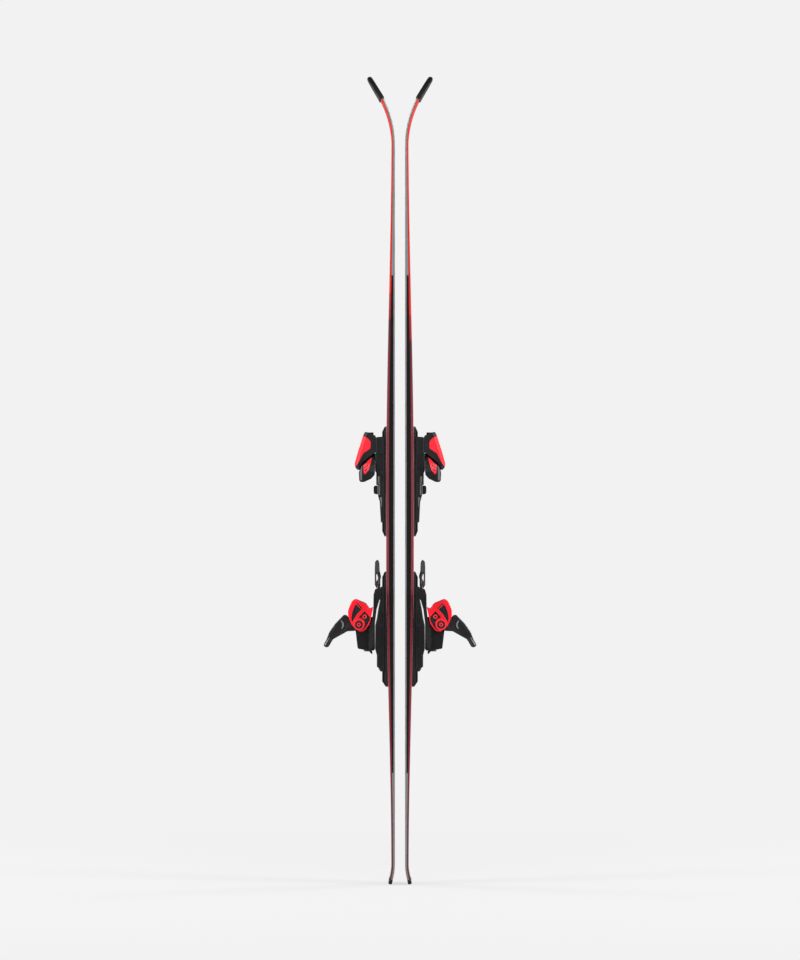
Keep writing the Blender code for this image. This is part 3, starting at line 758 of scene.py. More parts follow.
def side_layers():
    """Base, edge and sidewalls."""
    rings = []
    for s in stations(INNER_START):
        y = half_width(s) - 2.5
        rings.append(across(s, both([(y - 0.2, 0), (y, 0.2), (y, 1.2)])))
    publish("base_skin", loft(rings), "ski", BASE, "running_base")

    def edge_ring(s_out, s_in):
        out_y, in_y = half_width(s_out), half_width(s_in) - 2.2
        inner = across(s_in, [(in_y, 0), (in_y, 2.0)])
        outer = across(s_out, [(out_y - 0.3, 0), (out_y, 0.3), (out_y, 1.8), (out_y - 0.2, 2.0)])
        return [inner[0], *outer, inner[1]]

    side = [edge_ring(LAYERS_START, 11.8)] + [edge_ring(s, s) for s in stations(15.0)]
    other = [[Vector((p.x, -p.y, p.z)) for p in ring] for ring in side]
    publish("edge_skin", loft(side[::-1] + other), "ski", EDGE_STEEL, "steel_edge")
    for letter, sign in (("a", -1), ("b", 1)):
        rings = []
        for s in stations(LAYERS_START):
            y = half_width(s)
            top = thickness(s) - side_height(s) - 0.3
            ring = [(y - 6, 2.3), (y - 0.15, 2.3), (y - 0.02, 2.5), (y - 0.3, mix(2.3, top, 0.55)),
                    (y - 0.6, top - 0.2), (y - 0.8, top), (y - 6, top)]
            rings.append(across(s, [(sign * a, n) for a, n in ring]))
        publish(f"sidewall_skin_{letter}", loft(rings), "ski", SIDEWALL,
                f"sidewall_{letter}")


def top_skin():
    """Topsheet with a rolled rim and a slightly sunk middle."""
    rings = []
    for s in stations(LAYERS_START):
        y, top = half_width(s), thickness(s)
        foot = top - side_height(s)
        bevel = 2.0 + side_height(s) * 0.52
        sunk = 0.35 * smooth_step((LAYERS_END - s) / 60) * smooth_step((s - LAYERS_START) / 60)
        shoulder = y * 0.62
        half = [(y - bevel - 1.0, top - 1.3), (y - 2.5, foot), (y - 0.7, foot),
                (y - 0.75, foot + 0.7), (y - 0.95, foot + 1.3)]
        for k in range(1, 5):
            t = k / 5
            swell = 0.22 * sin(pi * t)
            half.append((mix(y - 0.95, y - bevel, t) + swell,
                         mix(foot + 1.3, top - 0.15, t) + swell))
        half += [(y - bevel, top - 0.1), (y - bevel - 0.5, top), (shoulder + 1.6, top),
                 (shoulder, top - sunk), (shoulder * 0.5, top - sunk)]
        rings.append(across(s, both(half)))
    count = len(rings[0])
    rolled = {*range(1, 10), *range(17, 26)}      # faces of a section that make up the rim
    publish("topsheet_skin", loft(rings), "ski", [GRAPHIC, RIM], "topsheet",
            paint=lambda face: 1 if face.index % count in rolled else 0)


def tip_ring(s, end):
    """Section of the tip protector, ribbed on both faces."""
    fade_from = 1668.0
    middle = thickness(min(s, LAYERS_END)) / 2
    height = middle + 2.35
    if s > fade_from:
        height *= sqrt(max(1 - ((s - fade_from) / (end - fade_from)) ** 2, 0.02))
    y = (SHOVEL_HALF + 1.6) * (1 - ((s - SHOVEL_AT) / (end - SHOVEL_AT)) ** 2.4) ** 0.5
    soft = height * 0.55
    inner = min(soft, y * 0.45)
    fade = smooth_step((s - 1622) / 6) * smooth_step((fade_from - s) / 8)
    steps = 36

    def face(side):
        for k in range(steps + 1):
            a = mix(-(y - inner), y - inner, k / steps)
            rib = max(sin((a * 0.9 + s * 1.1) * 1.35), 0.0)
            rim = smooth_step((y - inner - abs(a)) / 6)
            yield a, middle + side * (height - 0.4 * fade * rim * rib)

    def corner(side):
        for k in range(1, 4):
            turn = pi / 2 * k / 4
            yield (y - inner + inner * sin(turn),
                   middle + side * (height - soft + soft * cos(turn)))

    def flipped(points):
        return [(-a, n) for a, n in points]

    flank = [(y, middle - height + soft), (y, middle + height - soft)]
    low, high = list(corner(-1)), list(corner(1))
    return [*face(-1), *low, *flank, *high[::-1], *list(face(1))[::-1], *flipped(high),
            *flipped(flank[::-1]), *flipped(low[::-1])]


def tip_protector():
    """Ribbed cap with a pocket for the ski's layers."""
    end = SKI_LENGTH + 1.95
    nose = 1660.0
    lengths = [mix(1620, nose, k / 32) for k in range(33)]
    lengths += [end - (end - nose) * (1 - k / 14) ** 2 for k in range(1, 14)]
    cap = loft([across(s, tip_ring(s, end)) for s in lengths])
    pocket = []
    for s in (1612, 1620, 1626, LAYERS_END + 0.3):
        y = half_width(s) + 0.2
        pocket.append(across(s, both([(y, -0.2), (y, thickness(s) + 0.2)])))
    publish("tip_cap", cut(cap, loft(pocket)), "ski", SOFT_BLACK,
            "tip_protector")


def tail_protector():
    """Small cap with two rivets."""
    rings = []
    for s, drop in ((0, 1.5), (0.4, 0.8), (1.5, 0.2), (3, 0), (6, 0), (9.3, 0)):
        y = half_width(s) + 0.5 - drop
        top = thickness(s) + 0.6 - drop
        rings.append(across(s, both([(y - 0.8, drop), (y, drop + 0.8), (y, top - 2.2),
                                     (y - 0.7, top - 0.7), (y - 2.2, top), (y * 0.5, top)])))
    rivet_at = 6.0
    angle = base_line(rivet_at)[2]
    feet = across(rivet_at, [(y, thickness(rivet_at) + 0.2) for y in (-24, 24)])
    rivets = [turned(foot, (cos(angle), 0, -sin(angle)),
                     [(0, 2.0), (0.5, 2.0), (0.8, 1.5), (0.85, 0.4)], 20) for foot in feet]
    publish("tail_cap", loft(rings), "ski", SOFT_BLACK, "tail_protector")
    publish("tail_rivets", gathered(rivets), "ski", SCREW_STEEL)


# ---- rails

def level(z, ring):
    """Section square to the ski, from (y, height) points."""
    return [(n, y, z) for y, n in ring]


def screw_head(x, y, z, radius=3.6):
    """Countersunk screw head with a cross recess, looking away from the ski."""
    head = turned((x - 1.6, y, z), OUT, [(0, radius * 0.5), (1.2, radius), (1.6, radius),
                                         (1.75, radius - 0.25)])
    arms = [plate(rectangle(y - a, z - b, y + a, z + b), x - 0.7, x + 1)
            for a, b in ((radius * 0.62, 0.5), (0.5, radius * 0.62))]
    return cut(head, *arms)


def rail(name, start, end, screws, node):
    """T rail with rounded shoulders and a toothed steel strip down its middle."""
    rings = []
    ramp = 11.0
    for z, height in ((start, 0.36), (start + 1.2, 0.46), (start + ramp, 1.0),
                      (mix(start, end, 0.3), 1.0), (mix(start, end, 0.7), 1.0),
                      (end - ramp, 1.0), (end - 1.2, 0.46), (end, 0.36)):
        foot = thickness(z) + 0.3
        half = [(30.4, foot), (31, foot + 0.6), (31, 20.9), (30.6, 21.4), (30.2, 21.5),
                (24.5, 21.5), (24.5, 23.3), (27.6, 23.3), (28, 23.7), (28, 25.2),
                (27.7, 25.9), (27.0, 26.2), (6.0, 26.2), (5.6, 24.9)]
        rings.append(level(z, both([(y, mix(foot, n, height)) for y, n in half])))
    body = loft(rings)
    holes = [turned((RAIL_TOP - 2.5, y, z), OUT, [(0, 2.6), (1.2, 4.1), (6, 4.1)])
             for y, z in screws]
    publish(name + "_skin", cut(loft(rings), *holes), "ski", BLACK, node)
    heads = [screw_head(RAIL_TOP - 0.6, y, z) for y, z in screws]
    publish(name + "_screws", gathered(heads), "ski", SCREW_STEEL)
    teeth = []
    z = start + ramp + 1
    while z < end - ramp - 3:
        teeth += [(24.95, z), (25.9, z + 0.5), (25.9, z + 1.5), (24.95, z + 2.0)]
        z += 3.0
    strip = [(24.2, start + ramp), *teeth, (24.95, z), (24.2, z)]
    publish(name + "_rack", prism(strip, 5.2), "ski", SPRING_STEEL, smooth=20)


def slide_body(tops, corner=3.0):
    """Housing around a rail's head, with rounded shoulders: tops is a list of (z, height)."""
    rings = []
    for z, top in tops:
        half = [(28.3, 26.5), (28.3, 23.0), (24.8, 23.0), (24.8, 22.1), (25.1, 21.8), (31.4, 21.8),
                (SLIDE_HALF, 22.4), (SLIDE_HALF, top - corner)]
        for k in range(1, 6):
            turn = pi / 2 * k / 5
            half.append((SLIDE_HALF - corner + corner * cos(turn),
                         top - corner + corner * sin(turn)))
        half += [(20, top), (10, top)]
        rings.append(level(z, both(half)))
    return loft(rings)


def side_pockets(foot, places):
    """Cutters for shallow pockets in a slide body's sides: places is a list of (z, z, top)."""
    cutters = []
    for low, high, top in places:
        outline = [(foot, low), (foot, high), (top, high), (top, low)]
        cutters += openings(outline, 2.5, SLIDE_HALF, POCKET_FLOOR, 0.5)
    return cutters


def eased_tops(points, reach=2.0, steps=3):
    """Height profile along the ski with its corners rounded."""
    smooth = [points[0]]
    for before, corner, after in zip(points, points[1:], points[2:]):
        a, b, c = Vector(before), Vector(corner), Vector(after)
        back = min(reach, (a - b).length * 0.4)
        ahead = min(reach, (c - b).length * 0.4)
        for p in bend(b + (a - b).normalized() * back, b, b + (c - b).normalized() * ahead, steps):
            if p.x > smooth[-1][0] + 0.02:
                smooth.append(tuple(p))
    return smooth + [points[-1]]


# ---- toe piece

# Grey strips on the toe base's sides are painted highlights: lighter grey where light falls on the
# base's flange and on its rounded shoulder.
BASE_HIGHLIGHT_STRIP = [(30.6, 838.5), (35.2, 838.5), (35.2, 823.5), (33, 820.5), (33, 800.5), (30.6, 800.5)]
BASE_HEEL_HIGHLIGHT_STRIP = [(27, 795.5), (30.8, 795.5), (28.4, 783), (27.9, 776), (27, 776)]
HOUSING = [(38.8, 922), (61.5, 931), (65.6, 922), (77.1, 886), (83.1, 864), (81.3, 856.5),
           (75.5, 850), (67.5, 866), (53.7, 877.6), (38.8, 888.7)]
COVER = [(65.6, 922), (56.3, 917), (51, 912), (49.6, 907), (50, 896), (58.2, 890.5), (64.8, 886),
         (68.5, 879.6), (73.8, 868.5), (80.4, 858), (92, 858), (92, 922)]
WING_PLAN = [(21, 881.5), (27, 878.5), (31, 872), (36, 862), (39.5, 848), (40, 836), (38, 827),
             (33, 826.5), (31.5, 832), (32.5, 845), (30, 856), (24.5, 863), (17, 866.7),
             (13.7, 872), (15, 879)]
WING_LIP = [(12, 866), (12, 850), (20, 842), (33, 838), (36, 850), (30, 866)]
WING_SIDE = [(41, 883.5), (46, 880), (53.5, 873.5), (62, 865.5), (66.5, 862.5), (74.2, 847.5),
             (73.4, 829.8), (70.1, 826.3), (62.9, 827), (49.1, 833.5), (41.7, 841.7), (41, 853)]
WING_PANEL = [(47.6, 877.4), (53.6, 872.2), (61.8, 864.3), (64.8, 862), (64.2, 845), (61, 842.5),
              (53.7, 852), (50.4, 864), (48.1, 873)]
WING_RIM = [(66.8, 861), (68.2, 858.5), (72.6, 848), (72, 830), (67.2, 830), (67.4, 846)]


def housing_half(x, _z):
    """Half width of the toe housing, which narrows upwards."""
    return mix(28.0, 20.0, (x - 38.8) / (83.1 - 38.8))


def toe_body():
    """Toe base, housing, red cover and what is fixed to them, with grey strips on the base as
    painted highlights.
    """
    tops = eased_tops([(743.6, 27.6), (744.6, 29.1), (764, 30.2), (786, 31.2), (799.7, 35.1),
                       (820.4, 35.1), (820.9, 38.5), (846, 38.5), (849, 40.6), (887.2, 40.6),
                       (888, 39.1), (917, 39.1), (919.4, 37.5), (920, 27.5)])
    studs = [turned((30, side * WING_PIVOT[0], WING_PIVOT[1]), OUT,
                    [(0, 3.5), (17.4, 3.5), (18, 2.9)]) for side in SIDES]
    grooves = [groove(20, z, 2.2, 1, 29) for z in (752, 758, 764, 770)]
    pockets = side_pockets(24.8, [(826, 840, 29.4), (852, 884, 35.5)])
    body = cut(join(slide_body(tops), *studs), *grooves, *pockets)
    publish("toe_base_skin", body, "toe", BLACK, "toe_base", 32)
    # Painted highlights: raised grey strips where light catches the toe base's flange and
    # shoulder.
    for name, outline, finish in (("toe_base_painted_highlight", BASE_HIGHLIGHT_STRIP, PEDAL_GREY),
                                  ("toe_base_heel_painted_highlight", BASE_HEEL_HIGHLIGHT_STRIP, GREY)):
        highlight_strips = [moulded(outline, 0.8, depths, 0.25, steps=3)
                  for depths in ((31.5, 32.35), (-32.35, -31.5))]
        publish(name, gathered(highlight_strips), "toe", finish)

    outer = chamfered(rounded(HOUSING, 6), list(zip(HOUSING[1:5], HOUSING[2:6])), housing_half,
                      4.6, 6.5)

    def inside(wall):
        return prism(inset(HOUSING, wall), lambda x, z: housing_half(x, z) - wall - 1)

    region = rounded(COVER, 5)
    recess_wall, cover_wall = 4.7, 4.5
    recess = cut(prism(inset(region, -0.2), 40), inside(recess_wall))
    bore = turned((TOE_SPRING_X, 0, 892), ALONG, [(0, 7.6), (30, 7.6), (36, 8.4), (50, 8.4)], 40)
    publish("toe_housing_skin", eased(cut(outer, recess, bore), 0.4, 25), "toe",
            BLACK, "toe_housing", 32)
    window = plate(rounded(rectangle(-7, 888, 7, 908), 2, 4), 60, 100)
    cover = cut(keep(outer, prism(region, 40)), inside(cover_wall), window)
    publish("toe_cover_skin", eased(cover, 0.45, 25), "toe", RED, "toe_cover", 32)
    core = [(40.8, 887), (53.4, 877.9), (67.2, 866.4), (74.6, 851.5), (71, 851), (62, 861),
            (49, 872), (40.8, 876)]
    publish("toe_core", moulded(core, 1.5, 11.4, 0.8), "toe", SOFT_BLACK)
    scale_parts("toe", "toe", (69.2, 907.6), (75.0, 888.4), 6.6)
    publish("toe_spring_coil", coil(TOE_SPRING_X, 893.5, 916, 5.6, 1.1, 4.5), "toe",
            SPRING_STEEL, "toe_spring")


def scale_parts(name, body, start, end, half):
    """Release scale under a small window: pale plate with ticks and a red pointer."""
    a, b = Vector(start), Vector(end)
    run = (b - a).normalized()
    out = Vector((abs(run.y), -run.x if run.y > 0 else run.x))

    def bar(t0, t1, y0, y1, low, high):
        corners = [a + (b - a) * t + out * h for t, h in rectangle(t0, low, t1, high)]
        return prism([tuple(p) for p in corners], (y0, y1))

    publish(f"{name}_scale_plate", eased(bar(0, 1, -half, half, -3.0, -0.9), 0.12), body,
            WHITE)
    ticks = []
    for k in range(9):
        t = 0.08 + 0.84 * k / 8
        long = half * (0.75 if k % 2 == 0 else 0.45)
        ticks.append(bar(t - 0.012, t + 0.012, -half * 0.85, -half * 0.85 + long, -0.95, -0.82))
    publish(f"{name}_scale_ticks", gathered(ticks), body, SOFT_BLACK)
    pointer = bar(0.38, 0.46, half * 0.05, half * 0.85, -0.95, -0.75)
    publish(f"{name}_scale_pointer", pointer, body, RED)


def toe_wings():
    """Arms that hold the boot's toe, each with a red panel, a grey rim and three slots."""
    arm = join(plate(rounded(WING_PLAN, 8), 41, 74.5), plate(rounded(WING_LIP, 4), 65.5, 71.8))
    arm = keep(arm, prism(rounded(WING_SIDE, 7), (0.01, 50)))
    arm = eased(cut(arm, rod((40, *WING_PIVOT), OUT, 9, 3.8)), 0.9, 42, 3)
    outer = [(27, 878.5), (31, 872), (36, 862), (39.5, 848), (40, 836), (38.4, 828)]
    face = [tuple(p) for p in spline([(y + 0.35, z + 0.2) for y, z in outer], 4)]
    strip = face + [(y - 2.2, z - 0.6) for y, z in face[::-1]]
    proud = [(y + 0.25, z) for y, z in strip[:len(face)]]
    proud += [(y - 0.4, z) for y, z in strip[:len(face)][::-1]]

    def patch(outline, plan, radius, steps=FINE):
        return keep(plate(plan, 40, 76), prism(rounded(outline, radius, steps), (20, 50)))

    lines = [[(56, 869), (60.5, 864.5), (61.5, 865.5), (57, 870)],
             [(54.5, 862), (62, 854.5), (63, 855.5), (55.5, 863)],
             [(56.5, 853.5), (61.5, 848.5), (62.5, 849.5), (57.5, 854.5)]]
    publish_pair("toe_wing_skin", arm, "wing_*", BLACK, "toe_wing_*", 38)
    publish_pair("toe_wing_panel", eased(patch(WING_PANEL, strip, 3), 0.3, 40), "wing_*",
                 RED)
    publish_pair("toe_wing_rim", eased(patch(WING_RIM, strip, 2), 0.3, 40), "wing_*",
                 GREY)
    marks = gathered([patch(line, proud, 0.5, 2) for line in lines])
    publish_pair("toe_wing_marks", marks, "wing_*", SOFT_BLACK)


def slotted(x, z, profile, end, radius, name, body, node):
    """Setting screw, turned from z on, with a crossed slot in its head at end."""
    arms = [prism(rectangle(x - a, end - 1.8, x + a, end + 1.8), b)
            for a, b in ((radius * 0.75, 0.9), (0.9, radius * 0.75))]
    publish(name, cut(turned((x, 0, z), ALONG, profile, 40), *arms), body,
            DARK_STEEL, node)


def sliding_plate():
    """Plate under the boot's toe, grooved along the ski."""
    profile = [(35.5, 801), (42.2, 802.3), (43.8, 806), (43.8, 816), (42, 819.2), (35.5, 819.8)]
    grooves = [rod((43.9, y, 795), ALONG, 30, 0.45, 10) for y in range(-21, 22, 3)]
    body = cut(moulded(profile, 1.8, 26, 1.2), gathered(grooves))
    publish("afd_pad", body, "afd", SOFT_BLACK, "afd_plate")


# ---- heel piece

TOWER = [(41.1, 480), (57, 480.6), (76.7, 484), (80.6, 518), (84, 530), (81, 543), (70, 553),
         (58, 554), (50, 549), (41.1, 548)]
CUP = [(81.9, 586.5), (59.6, 577.2), (51.6, 565.5), (44.4, 570), (47.9, 553.5), (49.5, 546),
       (51.6, 535.2), (62.3, 520.8), (72.6, 518.9), (88.5, 532.5), (96.3, 551), (96.3, 564),
       (89.7, 579.9)]
CUP_HOLLOW = [(46, 500), (46, 548), (52, 558), (61, 571), (80, 579), (86, 575), (91.5, 562),
              (91.5, 551.5), (104, 551.5), (104, 500)]
FRONT_WINDOW = [(77.5, 578.2), (83.1, 570.8), (88.2, 556.8), (89.4, 546.5), (88.2, 538.5),
                (83.1, 546.5), (76.5, 556.8), (66.2, 566.9)]
REAR_WINDOW = [(62.2, 561.3), (74, 548.6), (66.2, 545.1), (61.9, 539.2), (61.9, 532.5),
               (64, 527), (68, 523.2), (70.5, 522.4), (64.5, 523.6), (58.1, 530.5),
               (52.2, 541.5), (51.2, 548.5), (53.7, 552.6)]
WINDOW_RIB = [(79.3, 576.8), (67.6, 565.1), (68.4, 564.3), (80.1, 576)]
LEVER = [(66, 541.5), (70, 543.2), (84, 543.5), (91, 545.5), (96.5, 548.5), (98.3, 551.5),
         (104.8, 553.7), (123.7, 534.2), (135.4, 517.5), (141.4, 502.2), (147.4, 491.5),
         (143.7, 486.8), (136.7, 486.8), (127.2, 503.3), (97.5, 519.9), (84, 520.5), (75, 524),
         (66, 528), (64.3, 534)]
LEVER_SLOT = [(50, 500), (60, 515), (60, 560), (80, 556), (90, 546.3), (104, 548), (120, 531.5),
              (128, 519), (123, 505), (110, 495)]
ARM = [(28.5, 609.5), (41.1, 605), (43.8, 596), (44.3, 567), (46.5, 545), (53.5, 524),
       (54.5, 500), (53, 480), (50.5, 476.5), (45.8, 472), (47.9, 482.7), (43.8, 488), (42, 500),
       (41.8, 520), (41.5, 533), (37.5, 565), (32, 584), (28.5, 590)]
EAR = [(26.8, 609), (36, 606.5), (41, 601), (41, 594), (36, 589.5), (26.8, 588)]


def along_pivot(radius):
    return crossbar(*HEEL_PIVOT, 40, radius, 36)


def carriage():
    """Heel carriage with the brake's ears, its screws and the worm."""
    tops = eased_tops([(437.5, 29.2), (438.2, 30.6), (441, 30.6), (441.4, 32), (443.6, 32),
                       (444, 34.4), (446.2, 34.4), (446.6, 37.2), (471, 37.2), (484, 40.7),
                       (533.5, 40.3), (546, 37.2), (567, 34.1), (583, 31), (609, 30.6),
                       (611, 28.5)])
    ears = [moulded(EAR, 4, ends, 0.8) for ends in ((-31.8, -26.5), (26.5, 31.8))]
    pivot = crossbar(BRAKE_X, BRAKE_Z, 40, 2.9)
    bore = rod((WORM_X, 0, 430), ALONG, 42, 3.7)
    pockets = side_pockets(25, [(452, 472, 33), (488, 528, 37), (536, 556, 32.5)])
    grooves = [groove(22, z, 1.8, 0.8, 30.6) for z in (572, 577)]
    body = cut(join(slide_body(tops), *ears), pivot, bore, *pockets, *grooves)
    publish("heel_carriage_skin", body, "heel", BLACK, "heel_carriage", 32)
    heads = [screw_head(37.15, y, 459) for y in (-20, 20)]
    publish("heel_carriage_screws", gathered(heads), "heel", SCREW_STEEL)
    shaft = [(0, 2.4), (0.5, 3.1), (6.5, 3.1), (7, 2.2), (9, 2.2)]
    for k in range(7):
        z = 9.4 + 3.0 * k
        shaft += [(z, 2.4), (z + 0.9, 3.2), (z + 1.5, 3.2), (z + 2.4, 2.4)]
    shaft += [(31, 2.3)]
    slotted(WORM_X, 439, shaft, 439, 3.0, "worm_thread", "worm", "worm_screw")


def tower():
    """Heel tower with its release scale, spring and pivot pin."""
    bore = rod((HEEL_SPRING_X, 0, 470), ALONG, 70, 8.5, 40)
    window = prism([(77.6, 491), (79.4, 513), (90, 513), (90, 491)], 6.2)
    side = [(45, 486), (72, 488), (75.5, 508), (66, 516), (45, 518)]
    seat = prism([(75.9, 490.4), (77.9, 513.6), (84, 513.6), (84, 490.4)], 6.2)
    body = cut(moulded(TOWER, 4, TOWER_HALF, 1.4), along_pivot(4.3), bore, window,
               *openings(side, 3, TOWER_HALF, 17.2, 0.4), seat)
    publish("heel_tower_skin", body, "tower", BLACK, "heel_tower", 32)
    scale_parts("heel", "tower", (77.4, 491), (79.5, 513), 5.9)
    publish("heel_spring_coil", coil(HEEL_SPRING_X, 489.5, 537, 6.4, 1.5, 6.5), "tower",
            SPRING_STEEL, "heel_spring")
    pin = turned((HEEL_PIVOT[0], -30.6, HEEL_PIVOT[1]), ACROSS,
                 [(0, 1.2), (0.5, 3.0), (1.0, 4), (60.2, 4), (60.7, 3.0), (61.2, 1.2)], 32)
    publish("heel_pin_skin", pin, "tower", DARK_STEEL, "heel_pin")


def cup():
    """Heel cup with its windows, the liner behind them, rings and ribs."""
    hollow = prism(rounded(CUP_HOLLOW, 6), LEVER_HALF + 0.3)
    windows = [cutter for window in (FRONT_WINDOW, REAR_WINDOW)
               for cutter in openings(window, 1, CUP_HALF, 22, 0.35)]
    grooves = [crossbar(88.4 + 0.8 * k, 583.5 - 2.6 * k, 12, 0.8, 12) for k in range(4)]
    body = cut(moulded(CUP, 14, CUP_HALF, 1.8, 2.4, fine=7), hollow, along_pivot(4.3),
               *windows, *grooves)
    publish("heel_cup_skin", body, "cup", RED, "heel_cup", 36)
    liners = [cut(liner, along_pivot(4.4))
              for liner in twins(rounded(inset(CUP, 1.4), 10), 25.0, 28.2)]
    reds, blacks = twins(WINDOW_RIB, 28.0, 29.5), []
    for k in range(5):
        a = Vector((79.5, 569)).lerp(Vector((86.5, 549)), k / 4)
        x, z = a.x - 4.5 + 0.7 * k, a.y
        bar = rounded([(x, z), (x + 5.5, z + 3), (x + 5.5, z + 4.2), (x, z + 1.2)], 0.5, 2)
        blacks += twins(bar, 28.0, 28.9)
    for side in SIDES:
        reds += [flat_ring(HEEL_PIVOT, side, 29.9, 8.2, 11.2, 0.9),
                 flat_ring(HEEL_PIVOT, side, 29.9, 1.8, 4.4, 1.3),
                 flat_ring((62.2, 550.2), side, 28.1, 2.0, 4.4, 1.2)]
        blacks.append(flat_ring(HEEL_PIVOT, side, 29.9, 4.3, 8.3, 0.3))
    publish("heel_cup_liner", gathered(liners), "cup", SOFT_BLACK, smooth=30)
    publish("heel_cup_rings", gathered(reds), "cup", RED)
    publish("heel_cup_trim", gathered(blacks), "cup", SOFT_BLACK, smooth=30)


def lever_half(x, z):
    """Half width of the lever, which narrows towards its tip."""
    reach = hypot(x - HEEL_PIVOT[0], z - HEEL_PIVOT[1])
    return mix(LEVER_HALF, LEVER_TIP_HALF, smooth_step((reach - 58) / 28))


def lever():
    """Step-in lever, forked around the tower, with its trim, and a grey crescent and a pale line
    that are painted highlights.
    """
    slot = prism(rounded(LEVER_SLOT, 5), TOWER_HALF + 0.8)
    cheek = [(103, 546), (119, 530.5), (128, 516), (131, 509), (112, 520), (104, 523.5),
             (99, 533)]
    points = [Vector((136.6, 514.5)).lerp(Vector((146.3, 493.2)), k / 5) for k in range(6)]
    grooves = [crossbar(point.x + 0.2, point.y, 11, 0.7, 10) for point in points]
    outward = Vector((19.5, 0, 18.9)).normalized()
    middle = Vector((114.3, 0, 543.9)) + outward * 0.4
    dimple = turned(middle - outward * 2.4, outward, [(0, 1.2), (0.6, 3.4), (2.6, 5.2), (6, 5.6)],
                    36)
    body = cut(moulded(LEVER, 6, lever_half, 2.2, 2.6, fine=6), slot, along_pivot(4.3),
               *openings(cheek, 4, LEVER_HALF, 23.0), *grooves, dimple)
    publish("heel_lever_skin", body, "lever", LEVER_GREY, "heel_lever", 36)
    # The grey crescent on each cheek is a painted highlight, where light catches the edge of the
    # scooped recess.
    start, end = (112, 544), (110.5, 524)
    arc = spline([start, (107, 539.5), (104.8, 533.3), (107.3, 526.5), end], 5)
    back = spline([start, (110, 539.5), (108.4, 533.3), (109.3, 527), end], 5)
    highlight_crescent = [tuple(p) for p in arc + back[-2:0:-1]]
    publish("heel_lever_highlight_arc", gathered(twins(highlight_crescent, 22.6, 24.2)), "lever",
            GREY)
    # The pale line along the tip's outer edge is a painted highlight.
    line = rounded([(133.9, 507.4), (134.7, 507.1), (145.0, 492.2), (143.4, 490.8)], 0.4, 3)
    pad = rounded([(126.6, 503.6), (132.4, 506.2), (142.0, 490.0), (137.4, 488.0)], 1, 3)
    publish("heel_lever_highlight_line", prism(line, lambda x, z: lever_half(x, z) + 0.2), "lever",
            HIGHLIGHT_PALE_GREY)
    publish("heel_lever_pad", prism(pad, lambda x, z: lever_half(x, z) + 0.15), "lever",
            SOFT_BLACK)


# ---- brake

def wire_path():
    """Points along the brake's wire, from the end of one arm to the end of the other."""
    half = [(48.2, ARM_Y, 505), (45, ARM_Y, 532), (41.5, ARM_Y, 560), (37, ARM_Y, 588),
            (35.2, ARM_Y - 0.6, 594.5), (BRAKE_X, ARM_Y - 3, 597.6), (BRAKE_X, 38, BRAKE_Z),
            (BRAKE_X, 27, BRAKE_Z), (BRAKE_X, 25.2, 598.6), (34.3, 23.9, 601), (33.8, 23.6, 606),
            (32.4, 23.6, 617), (32.3, 23.6, 629), (34.2, 23.6, 636.5), (36, 23.6, 643),
            (36.8, 22.8, 648), (37, 20.3, 651.3), (37, 17, 652)]
    return half + [(x, -y, z) for x, y, z in reversed(half)]


